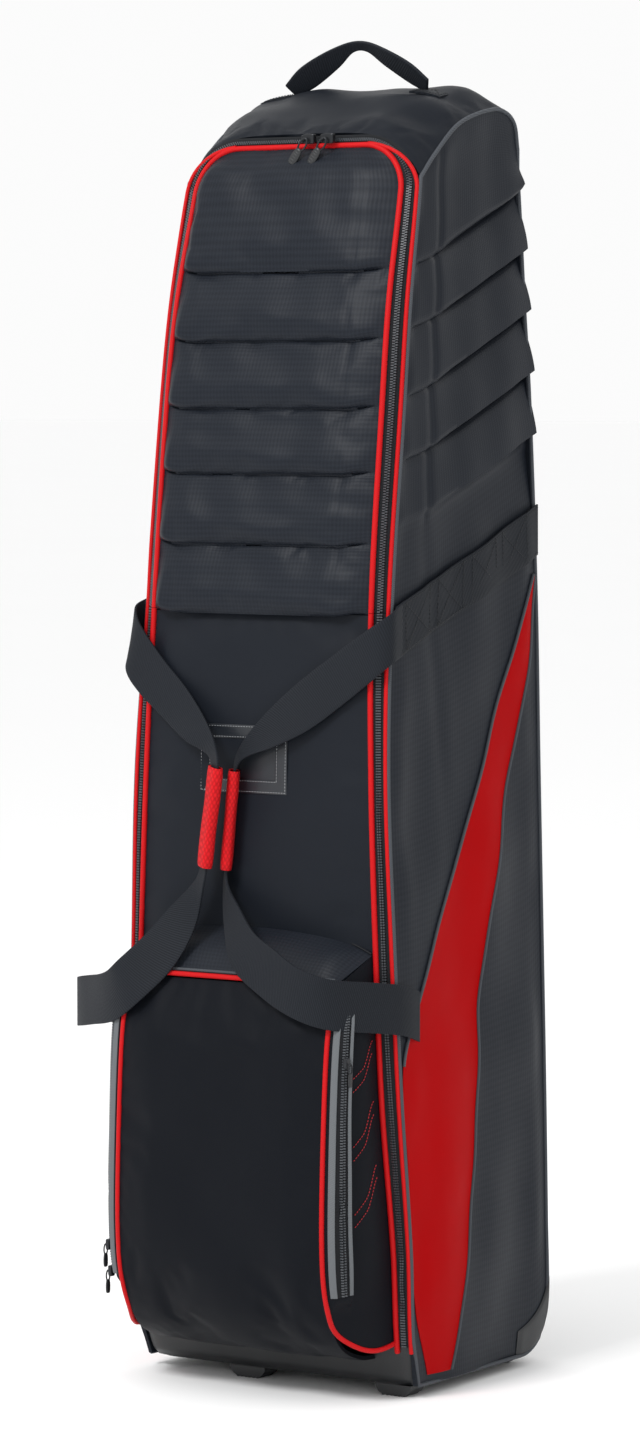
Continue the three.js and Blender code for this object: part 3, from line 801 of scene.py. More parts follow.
FILM = Hard(
    "window_film", "vinyl", (0.006, 0.008, 0.012), (0.010, 0.013, 0.018),
    roughness=0.4, grain=60.0, relief=0.15, coat=0.1,
)
BASE_SHEET = Hard(
    "base_sheet", "base_board", (0.020, 0.020, 0.021), (0.032, 0.032, 0.033),
    roughness=0.7,
)


def dress(piece: bpy.types.Object, finish: Cloth | Hard, body: str = "", *nodes: str) -> bpy.types.Object:
    """Gives a piece its finish, its body and the solids it stands for.

    Args:
        piece: The piece.
        finish: Its finish.
        body: The body it rides on; empty leaves it on no body.
        nodes: Solids it replaces.

    Returns:
        The same piece.
    """
    piece.data.materials.clear()
    piece.data.materials.append(finish.material())
    if body:
        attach(piece, body)
    if nodes:
        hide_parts(*nodes)
    log.info("%s: %d faces", piece.name, len(piece.data.polygons))
    return piece


# ---------------------------------------------------------------- shell outline


@dataclass(frozen=True)
class Outline:
    """The shell's half width, front edge, back face and door face at any height."""

    heights: tuple[float, ...] = (0.012, 0.07, 0.15, 0.3, 0.45, 0.62, 0.79, 0.99, 1.09, 1.207, 1.31)
    halves: tuple[float, ...] = (0.163, 0.169, 0.168, 0.164, 0.158, 0.152, 0.147, 0.146, 0.144, 0.14, 0.134)
    fronts: tuple[float, ...] = (
        -0.116, -0.132, -0.134, -0.145, -0.149, -0.151, -0.137, -0.113, -0.099, -0.075, -0.06,
    )
    backs: tuple[float, ...] = (0.12, 0.123, 0.123, 0.125, 0.129, 0.132, 0.134, 0.122, 0.114, 0.109, 0.104)
    prouds: tuple[float, ...] = (0.004, 0.004, 0.006, 0.01, 0.008, 0.005, 0.011, 0.014, 0.013, 0.008, 0.005)
    band: float = 0.017
    crown: tuple[tuple[float, float], ...] = (
        (-0.074, 1.256),
        (-0.048, 1.272),
        (-0.008, 1.294),
        (0.034, 1.301),
        (0.078, 1.3),
        (0.101, 1.288),
        (0.108, 1.262),
    )

    def half(self, z: Array) -> Array:
        """Returns the half width at height z."""
        return hermite(z, self.heights, self.halves)

    def front(self, z: Array) -> Array:
        """Returns the depth of the side panels' front edge."""
        return hermite(z, self.heights, self.fronts)

    def back(self, z: Array) -> Array:
        """Returns the depth of the back face."""
        return hermite(z, self.heights, self.backs)

    def proud(self, z: Array) -> Array:
        """Returns how far the door stands before the front edge."""
        return hermite(z, self.heights, self.prouds)

    def door(self, z: Array) -> Array:
        """Returns the depth of the door's face."""
        return self.front(z) - self.proud(z)

    def door_half(self, z: Array) -> Array:
        """Returns the door's half width."""
        return self.half(z) - self.band

    def crown_at(self, u: Array, s: Array) -> tuple[Array, Array, Array]:
        """Shape of the crown.

        Args:
            u: 0 at the front, 1 at the back.
            s: -1 at the left, 1 at the right.

        Returns:
            Shell x, y and z.
        """
        line = flowing(self.crown, u)
        fall = mix(0.046, 0.018, np.minimum(u * 1.6, 1)) * np.abs(s) ** 5
        return s * float(self.half(np.array(1.215))), line[..., 0], line[..., 1] - fall


OUTLINE = Outline()


# ---------------------------------------------------------------- shell


@dataclass
class Shell:
    """Side panels, crown, back and the cords sewn along their edges."""

    outline: Outline = field(default_factory=Outline)
    pleats: tuple[tuple[float, float], ...] = (
        (0.864, 0.951),
        (0.928, 1.0146),
        (0.991, 1.077),
        (1.059, 1.138),
        (1.1215, 1.205),
    )
    crease: float = 0.21  # share of the depth where the upright crease runs
    lap_fore: float = 0.0034  # how far a pleat stands out at its front end
    lap_gain: float = 0.0075  # how much further at its rear end
    crease_depth: float = 0.0022
    softness: float = 0.0016  # height of the cloth's own unevenness
    crown_billow: tuple[float, float, float] = (1.5, 0.02, 0.004)
    edge_cord: float = 0.0021
    seam_cord: float = 0.0018

    def pleat_line(self, k: int, u: Array) -> Array:
        """Returns the height of pleat k at share u of the depth."""
        low, high = self.pleats[k]
        return np.interp(u, [0, self.crease, 1], [low, low + 0.15 * (high - low), high])

    def arch(self, u: Array) -> tuple[Array, Array, Array]:
        """Returns the right edge of the crown at u from front to back."""
        return self.outline.crown_at(u, np.ones_like(u))

    def foot(self, u: Array) -> Array:
        """Returns the side panels' lowest line at share u of the depth."""
        turned = np.clip((u - 0.84) / 0.16, 0, 1)
        return 0.013 + 0.034 * (1 - np.sqrt(1 - turned**2))

    def skin(self, side: int, y: Array, z: Array) -> Array:
        """Soft outer face of the plain lower part of a side panel.

        Args:
            side: -1 for the left panel, 1 for the right one.
            y: Depth in the shell.
            z: Height.

        Returns:
            x of the face.
        """
        near = smooth((y - self.outline.front(z)) / 0.03) * smooth((self.outline.back(z) - y) / 0.03)
        wave = 0.0022 * ripple(y, z, 11 + side, 0.16) + 0.0022 * ripple(y * 2, z * 0.6, 14, 0.2)
        crease = np.exp(-(((y + 0.062 + 0.1 * (z - 0.7)) / 0.012) ** 2)) * smooth((z - 0.5) / 0.2)
        wave = wave - 0.0016 * crease
        return side * (self.outline.half(z) + near * (wave + 0.002))

    def rows(self) -> list[tuple[int, float]]:
        """Returns the grid rows of a side panel.

        Returns:
            Each row's band, where band 0 is below the first pleat, and its share of that band.
        """
        made = [(0, t) for t in np.linspace(0, 0.985, 64)]
        for band in range(1, len(self.pleats) + 1):
            last = band == len(self.pleats)
            shares = np.linspace(0.012, 0.988, 14) if not last else np.linspace(0.008, 1, 20)
            made += [(band, t) for t in shares]
        return made

    def side_panel(self, name: str, side: int) -> bpy.types.Object:
        """Builds one side panel with its overlapping pleats.

        Args:
            name: The piece's name.
            side: -1 for the left panel, 1 for the right one.

        Returns:
            The panel.
        """
        rows = self.rows()
        bands = np.array([b for b, _ in rows])
        shares = np.array([t for _, t in rows])
        top = len(self.pleats)

        def place(u: Array, v: Array) -> tuple[Array, Array, Array]:
            """Place on the panel.

            Args:
                u: 0 at the front, 1 at the back.
                v: 0 at the bottom, 1 at the top.

            Returns:
                Shell x, y and z.
            """
            k = np.clip(np.rint(v * (len(rows) - 1)).astype(int), 0, len(rows) - 1)
            band, t = bands[k], shares[k]
            _, arch_y, arch_z = self.arch(u)
            lines = [self.foot(u)] + [self.pleat_line(i, u) for i in range(top)] + [arch_z]
            lines = np.stack(lines)
            cols = np.arange(len(u))
            z = mix(lines[band, cols], lines[band + 1, cols], t)
            y = mix(self.outline.front(z), self.outline.back(z), u)
            up = smooth((z - 1.12) / (arch_z - 1.12))
            y = mix(y, arch_y, up)
            rear = smooth((u - 0.12) / 0.4)
            depth = np.where(band > 0, self.lap_fore + self.lap_gain * rear, 0.0)
            depth = np.where(band == top, depth * (1 - smooth(t * 1.4)), depth)
            lap = np.cos(np.minimum(t, 1) * math.pi / 2) ** 0.8 * smooth(0.25 + t * 9) - 0.5
            under = np.where(band < top, smooth((t - 0.9) / 0.1), 0.0) * np.where(band == 0, 1.0, 1.2)
            lift = depth * lap - under * (0.0015 + 0.004 * rear)
            groove = np.exp(-(((u - self.crease) / 0.02) ** 2)) * np.where(band > 0, self.crease_depth, 0.0)
            edge = smooth(u / 0.06) * smooth((1 - t) / 0.1 + (band < top))
            wave = self.softness * ripple(y, z, 3 + side, 0.11) * (band > 0)
            plain = np.abs(self.skin(side, y, z)) - self.outline.half(z)
            low = 1 - smooth((z - 0.84) / 0.05)
            x = mix(self.outline.half(z), self.arch(u)[0], up)
            x = x + edge * (lift - groove + wave) + plain * low
            y = y + np.maximum(lift, -0.002) * smooth((u - 0.86) / 0.14) * 0.9
            return side * x, y, z

        return panel(name, place, (56, len(rows) - 1), (0.27, 1.26), (side, 0, 0))

    def crown(self) -> bpy.types.Object:
        """Builds the crown with its soft ridge.

        Returns:
            The crown.
        """

        def place(u: Array, v: Array) -> tuple[Array, Array, Array]:
            """Returns the crown at u over the width and v from front to back."""
            s = 2 * u - 1
            x, y, z = self.outline.crown_at(v, s)
            calm = smooth((1 - np.abs(s)) / 0.18) * smooth(v / 0.12)
            folds = 0.0025 * ripple(x, y, 21, 0.09) + 0.002 * ripple(x * 0.5, y * 1.8, 25, 0.08)
            hollow = 0.004 * np.sin(math.pi * np.clip(v / 0.5, 0, 1)) * (1 - s**2)
            return x, y, z + calm * (folds - hollow)

        size = (0.28, 0.26)
        return panel("crown_cover", place, (56, 44), size, (0, 0, 1), WALL, self.crown_billow)

    def back_wall(self) -> bpy.types.Object:
        """Builds the back between the two side panels.

        Returns:
            The back.
        """

        def place(u: Array, v: Array) -> tuple[Array, Array, Array]:
            """Returns the back at u over the width and v up."""
            s = 2 * u - 1
            _, y_top, z_top = self.outline.crown_at(np.ones_like(s), s)
            z = mix(0.088, z_top, v)
            x = s * mix(self.outline.half(z), self.arch(np.ones_like(s))[0], smooth((z - 1.12) / 0.12))
            calm = smooth((1 - np.abs(s)) / 0.15)
            y = mix(self.outline.back(z), y_top, smooth((z - 1.15) / 0.1))
            return x, y + calm * 0.0015 * ripple(x, z, 31, 0.13), z

        return panel("back_cover", place, (36, 90), (0.3, 1.17), (0, 1, 0))

    def edge_path(self, side: int) -> Array:
        """Closed line of the cord round one side panel.

        Args:
            side: -1 for the left panel, 1 for the right one.

        Returns:
            Frame points: up the front, over the crown, down the back and along the foot.
        """
        z = np.linspace(0.06, 1.2, 90)
        up = np.stack([self.outline.half(z), self.outline.front(z), z], axis=-1)
        over = np.stack(self.arch(np.linspace(0.0, 1.0, 40)), axis=-1)
        z = np.linspace(1.22, 0.06, 70)
        down = np.stack([self.outline.half(z), self.outline.back(z), z], axis=-1)
        u = np.linspace(0.97, 0.02, 50)
        z = self.foot(u)
        y = mix(self.outline.front(z), self.outline.back(z), u)
        under = np.stack([self.outline.half(z), y, z], axis=-1)
        path = np.concatenate([up, over, down, under])
        return to_frame(side * path[:, 0], path[:, 1], path[:, 2])

    def build(self) -> None:
        """Builds and dresses the whole shell."""
        for name, side in SIDES:
            piece = self.side_panel(f"{name}_side_cover", side)
            dress(piece, SHELL_NYLON, "case", f"{name}_side_panel")
            cord = tube(f"{name}_edge_cord", self.edge_path(side), self.edge_cord, True)
            dress(cord, GREY_CORD, "case")
        crown = dress(self.crown(), PLAIN_NYLON, "case", "crown_panel")
        back = dress(self.back_wall(), PLAIN_NYLON, "case", "back_panel")
        s = np.linspace(-1, 1, 50)
        seam = to_frame(*self.outline.crown_at(np.ones_like(s), s))
        dress(tube("back_seam_cord", seam, self.seam_cord), GREY_CORD, "case")


# ---------------------------------------------------------------- red inserts


@dataclass
class Inserts:
    """The red panel let into each side, with grey cords along it."""

    shell: Shell
    heights: tuple[float, ...] = (0.022, 0.09, 0.23, 0.335, 0.39, 0.505, 0.592, 0.702, 0.812)
    fores: tuple[float, ...] = (-0.098, -0.128, -0.137, -0.141, -0.113, -0.052, 0.001, 0.06, 0.127)
    afts: tuple[float, ...] = (-0.060, -0.047, -0.017, -0.004, 0.002, 0.031, 0.06, 0.105, 0.131)
    fore_cord_foot: float = 0.335  # the front cord starts where the insert leaves the front edge
    cord: float = 0.0017
    bulge: float = 0.0012
    flat_size: tuple[float, float] = (0.15, 0.8)  # of the cloth before it is cut
    flat_area: float = 0.0615  # of the cut cloth

    def edge(self, values: Sequence[float], z: Array) -> Array:
        """Returns the depth of one edge at height z."""
        return hermite(z, self.heights, values)

    def build(self) -> None:
        """Builds both inserts and their cords."""
        for name, side in SIDES:

            def place(u: Array, v: Array) -> tuple[Array, Array, Array]:
                """Returns the insert at u from fore to aft and v up."""
                z = mix(self.heights[0], self.heights[-1], v)
                fore = np.maximum(self.edge(self.fores, z), self.shell.outline.front(z) + 0.002)
                y = mix(fore, self.edge(self.afts, z), u)
                bulge = self.bulge * np.sin(math.pi * u)
                return self.shell.skin(side, y, z) + side * (0.0008 + bulge), y, z

            piece = panel(f"{name}_red_cover", place, (20, 120), (0.12, 0.8), (side, 0, 0), 0.0008)
            dress(piece, RED_PANEL, "case", f"{name}_red_insert")
            runs = (("fore", self.fores, self.fore_cord_foot), ("aft", self.afts, self.heights[0]))
            for label, values, low in runs:
                z = np.linspace(low, self.heights[-1], 90)
                y = self.edge(values, z)
                path = to_frame(self.shell.skin(side, y, z) + side * 0.0014, y, z)
                dress(tube(f"{name}_insert_{label}_cord", path, self.cord), GREY_CORD, "case")


# ---------------------------------------------------------------- door, flap and zips


@dataclass
class Door:
    """The quilted flap, the plain door below it, and the zip round them."""

    outline: Outline = field(default_factory=Outline)
    crease: float = 0.781
    top: float = 1.243
    foot: float = 0.054
    corner: float = 0.046
    grooves: tuple[float, ...] = (0.7798, 0.849, 0.919, 0.984, 1.051, 1.1195, 1.243)
    band_rows: int = 22  # grid rows in one quilted band
    loft: float = 0.015  # how far the padding stands out
    margin_left: float = 0.014  # width of the sloping edge of the padding
    margin_right: float = 0.037
    red_cord: float = 0.0029
    outer_cord: float = 0.0022
    tape_shares: tuple[tuple[str, str, float, float], ...] = (
        ("flap", "upper_flap", 0.06, 0.42),
        ("body", "case", 0.44, 0.80),
    )  # each tape's body and where it lies over the band
    tooth_shares: tuple[float, float] = (0.37, 0.49)
    lift: float = 0.0012  # how far teeth and cords stand off the band
    pad_thickness: float = 0.006
    flap_billow: tuple[float, float, float] = (1.6, 0.004, 0.003)
    lower_billow: tuple[float, float, float] = (0.8, 0.004, 0.0025)

    def inner(self, side: int, s: Array) -> Array:
        """The door's edge from the crease up and over to the middle of the top.

        Args:
            side: -1 for the left half, 1 for the right one.
            s: Share of the way, 0 at the crease and 1 at the middle of the top.

        Returns:
            Shell points as rows.
        """
        spans = self.spans()
        run = s * sum(spans)
        x, z = np.zeros_like(run), np.zeros_like(run)
        middle = float(self.outline.door_half(np.array(self.top))) - self.corner
        rising = run <= spans[0]
        z[rising] = self.crease + run[rising]
        x[rising] = self.outline.door_half(z[rising])
        turning = (run > spans[0]) & (run <= spans[0] + spans[1])
        angle = (run[turning] - spans[0]) / self.corner
        z[turning] = self.top - self.corner + self.corner * np.sin(angle)
        widen = self.outline.door_half(z[turning]) - self.outline.door_half(np.array(self.top))
        x[turning] = middle + self.corner * np.cos(angle) + widen
        level = run > spans[0] + spans[1]
        x[level] = middle * (1 - (run[level] - spans[0] - spans[1]) / spans[2])
        z[level] = self.top
        return np.stack([side * x, self.outline.door(z), z], axis=-1)

    def spans(self) -> tuple[float, float, float]:
        """Returns the lengths of the upright, the corner and the level part of the edge."""
        half = float(self.outline.door_half(np.array(self.top)))
        return self.top - self.crease - self.corner, math.pi / 2 * self.corner, half - self.corner

    def outer(self, side: int, s: Array) -> Array:
        """The shell's edge opposite inner(side, s).

        Args:
            side: -1 for the left half, 1 for the right one.
            s: Share of the way, as for inner.

        Returns:
            Shell points as rows.
        """
        near = self.inner(side, s)
        bend = self.top - self.corner
        half = float(self.outline.half(np.array(bend)))
        middle = float(self.outline.door_half(np.array(self.top))) - self.corner
        across, up = np.abs(near[:, 0]), near[:, 2]
        angle = np.arctan2(np.maximum(up - bend, 0), np.maximum(across - middle, 1e-6))
        angle = np.where(across < middle, math.pi / 2, angle)
        x = np.where(up <= bend, self.outline.half(up), middle + (half - middle) * np.cos(angle))
        x = np.where(across < middle, across, x)
        crown_y, crown_z = self.outline.crown[0]
        z = np.where(up <= bend, up, bend + (crown_z - bend) * np.sin(angle))
        y = mix(self.outline.front(up), crown_y, np.sin(angle) * (up > bend))
        return np.stack([side * x, y, z], axis=-1)

    def band(self, side: int, s: Array, share: Array | float, lift: float = 0.0) -> Array:
        """Line along the sloping band between the door and the shell.

        Args:
            side: -1 for the left half, 1 for the right one.
            s: Share of the way, as for inner.
            share: Share of the band's width, 0 at the door.
            lift: How far the line stands off the band.

        Returns:
            Frame points as rows.
        """
        a, b = self.inner(side, s), self.outer(side, s)
        at = mix(a, b, np.reshape(share, (-1, 1)))
        at[:, 0] += side * lift * 0.5
        at[:, 1] -= lift * 0.8
        return to_frame(at[:, 0], at[:, 1], at[:, 2])

    def lower_band(self, side: int, z: Array, share: float, lift: float = 0.0) -> Array:
        """Line along the sloping band below the crease.

        Args:
            side: -1 for the left side, 1 for the right one.
            z: Heights of the points.
            share: Share of the band's width, 0 at the door.
            lift: How far the line stands off the band.

        Returns:
            Frame points as rows.
        """
        x = mix(self.outline.door_half(z), self.outline.half(z), share)
        y = mix(self.outline.door(z), self.outline.front(z), share)
        return to_frame(side * (x + lift * 0.5), y - lift * 0.8, z)

    def quilt(self, x: Array, z: Array) -> tuple[Array, Array]:
        """Shape of the padding: each band rolls out below its top seam and tapers upwards.

        Args:
            x: Places over the width.
            z: Heights.

        Returns:
            How far the padding stands out, and how far it sags there.
        """
        marks = np.array(self.grooves)
        k = np.clip(np.searchsorted(marks, z, side="right") - 1, 0, len(marks) - 2)
        size = marks[k + 1] - marks[k]
        t = (z - marks[k]) / size
        top = k == len(marks) - 2
        roll = np.clip(t * size / 0.009, 0, 1)
        roll = np.sqrt(1 - (1 - roll) ** 2)
        fall = np.where(top, smooth((1 - t) / 0.22), 1 - 0.62 * smooth((t - 0.06) / 0.94))
        pinch = np.where(top, 1.0, smooth((1 - t) * size / 0.004))
        puff = mix(0.16, 1.0, roll) * fall * mix(0.55, 1.0, pinch)
        margin = np.where(x > 0, self.margin_right, self.margin_left)
        near = np.clip((self.outline.door_half(z) - np.abs(x)) / margin, 0, 1)
        slope = 0.55 * near + 0.45 * np.sin(near * math.pi / 2)
        sag = 0.0046 * np.exp(-(((t * size - 0.004) / 0.007) ** 2)) * near
        return self.loft * puff * slope, sag

    def flap(self) -> bpy.types.Object:
        """Builds the quilted face of the flap as one closed pad.

        Returns:
            The pad.
        """
        rows: list[float] = []
        for low, high in zip(self.grooves, self.grooves[1:]):
            ease = np.linspace(0, 1, self.band_rows + 1)
            ease = ease - 0.09 * np.sin(2 * math.pi * ease)
            rows += list(low + (high - low) * ease[:-1])
        rows.append(self.grooves[-1])
        heights = np.array(rows)
        low, span = heights[0], heights[-1] - heights[0]

        def place(u: Array, v: Array) -> tuple[Array, Array, Array]:
            """Place on the pad's face.

            Args:
                u: 0 at the left, 1 at the right.
                v: 0 at the bottom, 1 at the top.

            Returns:
                Shell x, y and z.
            """
            s = 2 * u - 1
            z = heights[np.clip(np.rint(v * (len(heights) - 1)).astype(int), 0, len(heights) - 1)]
            half = self.outline.door_half(z)
            over = np.clip((z - (self.top - self.corner)) / self.corner, 0, 1)
            x_limit = half - self.corner * (1 - np.sqrt(np.clip(1 - over**2, 0, 1)))
            x = s * x_limit
            y = self.outline.door(z)
            margin = np.where(x > 0, self.margin_right, self.margin_left)
            reach = np.clip((x_limit - np.abs(x)) / margin, 0, 1)
            shrink = reach / np.clip((half - np.abs(x)) / margin, 1e-4, 1)
            lift, sag = self.quilt(x, z)
            out = lift * np.clip(shrink, 0, 1)
            hang = smooth((x_limit - np.abs(x)) / 0.03) * smooth((self.top - z) / 0.03)
            calm = hang * smooth((z - low) / 0.02)
            out = out + calm * (0.0012 * ripple(x, z, 41, 0.075) + 0.0008 * ripple(x * 0.4, z * 2, 47, 0.05))
            right_bend = np.exp(-(((x_limit - x - 0.038) / 0.004) ** 2))
            left_bend = 0.6 * np.exp(-(((x_limit + x - 0.013) / 0.003) ** 2))
            bend = 0.0012 * (right_bend + left_bend) * calm
            return x, y - out + bend, z - sag * hang * (z > low + 1e-6)

        piece = panel("flap_cover", place, (72, len(heights) - 1), (0.26, span), (0, -1, 0), 0)
        u, v = grid_place(piece, (0.26, span))
        row = np.rint(v * (len(heights) - 1)).astype(int)
        border = (u < 0.01) | (u > 0.99) | (row == 0) | (row == len(heights) - 1)
        sewn = border | (row % self.band_rows < 2)
        settle(piece, sewn, *self.flap_billow)
        thickness = self.pad_thickness
        finish_modifier(piece, "SOLIDIFY", thickness=thickness, offset=-1.0, use_even_offset=False)
        soften(piece, 60)
        return piece

    def lower(self) -> bpy.types.Object:
        """Builds the plain door below the flap.

        Returns:
            The door.
        """

        def place(u: Array, v: Array) -> tuple[Array, Array, Array]:
            """Returns the door at u over the width and v up."""
            s = 2 * u - 1
            z = mix(self.foot, self.crease - 0.0022, v)
            x = s * self.outline.door_half(z)
            calm = smooth((1 - np.abs(s)) / 0.2) * smooth((1 - v) / 0.06)
            out = calm * (0.003 + 0.0016 * ripple(x, z, 51, 0.15))
            return x, self.outline.door(z) - out, z

        size = (0.28, 0.72)
        return panel("lower_door_cover", place, (36, 84), size, (0, -1, 0), WALL, self.lower_billow)

    def lining(self) -> bpy.types.Object:
        """Builds the cloth behind the flap's padding.

        Returns:
            The lining.
        """

        def place(u: Array, v: Array) -> tuple[Array, Array, Array]:
            """Returns the lining at u over the width and v up."""
            s = 2 * u - 1
            z = mix(self.crease + 0.001, self.top - 0.001, v)
            over = np.clip((z - (self.top - self.corner)) / self.corner, 0, 1)
            limit = self.outline.door_half(z) - 0.001 - self.corner * (1 - np.sqrt(1 - over**2))
            soft = 0.0012 * ripple(s * limit, z, 61, 0.1) * smooth((1 - np.abs(s)) / 0.2)
            return s * limit, self.outline.door(z) + 0.0065 + soft, z

        return panel("flap_lining", place, (30, 50), (0.26, 0.46), (0, 1, 0), 0.001)

    def fold(self) -> bpy.types.Object:
        """Builds a strip of cloth across the join where the flap meets the lower door.

        Returns:
            The strip.
        """

        def place(u: Array, v: Array) -> tuple[Array, Array, Array]:
            """Returns the strip at u over the width and v up."""
            z = mix(self.crease - 0.012, self.crease + 0.006, v)
            x = (2 * u - 1) * (self.outline.door_half(z) - 0.004)
            return x, self.outline.door(z) + 0.0045 + 0.002 * v, z

        return panel("fold_cloth", place, (30, 18), (0.26, 0.018), (0, -1, 0), 0.0008)

    def zips(self) -> None:
        """Builds the zip tapes and their teeth, the flap's half and the body's half."""
        s = np.linspace(0, 1, 150)
        z = np.linspace(self.foot, self.crease - 0.0004, 130)
        for name, side in SIDES:
            for label, body, low, high in self.tape_shares:
                a, b = self.band(side, s, low), self.band(side, s, high)
                tape = ribbon(f"{name}_{label}_zip_tape", (a + b) / 2, (b - a) / 2, TAPE, 2)
                dress(tape, ZIP_TAPE, body)
            a, b = self.lower_band(side, z, 0.06), self.lower_band(side, z, 0.80)
            tape = ribbon(f"{name}_lower_zip_tape", (a + b) / 2, (b - a) / 2, TAPE, 3)
            dress(tape, ZIP_TAPE, "case", f"{name}_lower_zip")
        halves = (("flap", "upper_flap", 0.0), ("body", "case", TOOTH_PITCH / 2))
        for (label, body, start), share in zip(halves, self.tooth_shares):
            paths = [self.band(side, s, share, self.lift) for _, side in SIDES]
            dress(self.teeth(f"{label}_zip_teeth", paths, start), ZIP_COIL, body, f"{label}_zip")
        lower = [self.lower_band(side, z, k, self.lift) for _, side in SIDES for k in self.tooth_shares]
        dress(self.teeth("lower_zip_teeth", lower, 0.0), ZIP_COIL, "case")

    @staticmethod
    def teeth(name: str, paths: Sequence[Array], start: float) -> bpy.types.Object:
        """Builds rows of small teeth.

        Args:
            name: The piece's name.
            paths: Lines of frame points, one for each row.
            start: Where the first tooth stands.

        Returns:
            One piece with every tooth.
        """
        bpy.ops.object.select_all(action="DESELECT")
        bpy.ops.mesh.primitive_cube_add(size=1)
        unit = bpy.context.object
        places = []
        for path in paths:
            for point, way in zip(*spaced(path, TOOTH_PITCH, start)):
                turn = Vector(way).to_track_quat("Z", "Y").to_matrix().to_4x4()
                places.append(Matrix.Translation(point) @ turn @ Matrix.Diagonal((*TOOTH, 1)))
        return repeated(name, unit, places)

    def cords(self) -> None:
        """Builds the red cords along the door's edge and the band's outer side."""
        s = np.linspace(0, 1, 160)
        whole = np.concatenate([self.band(-1, s, 0, 0.001), self.band(1, s[::-1], 0, 0.001)[1:]])
        dress(tube("flap_red_cord", whole, self.red_cord), RED_CORD, "upper_flap")
        z = np.linspace(self.foot - 0.006, self.crease - 0.0004, 110)
        for name, side in SIDES:
            path = self.lower_band(side, z, 0.0, 0.001)
            dress(tube(f"{name}_lower_red_cord", path, self.red_cord), RED_CORD, "case")
            s_up = np.linspace(0, 0.86, 120)
            share = mix(0.84, 0.12, smooth((s_up - 0.74) / 0.12))
            tuck = smooth(s_up / 0.12) if side < 0 else np.zeros(120)
            share = mix(share, 0.97, tuck * smooth((0.8 - s_up) / 0.1))
            upper = self.band(side, s_up, share, self.lift)
            path = np.concatenate([self.lower_band(side, z, 0.84, self.lift), upper])
            dress(tube(f"{name}_outer_red_cord", path, self.outer_cord), RED_CORD, "case")

    def build(self) -> None:
        """Builds and dresses the door."""
        flap = dress(self.flap(), SHELL_NYLON, "upper_flap", "upper_flap")
        lining = dress(self.lining(), LINING, "upper_flap")
        fold = dress(self.fold(), PLAIN_NYLON)
        y = float(self.outline.door(np.array(self.crease))) + 0.005 + SHELL_MIDDLE[1]
        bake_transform(fold)
        door = dress(self.lower(), PLAIN_NYLON, "case", "lower_door", "left_front_edge", "right_front_edge")
        self.zips()
        self.cords()


# ---------------------------------------------------------------- pocket


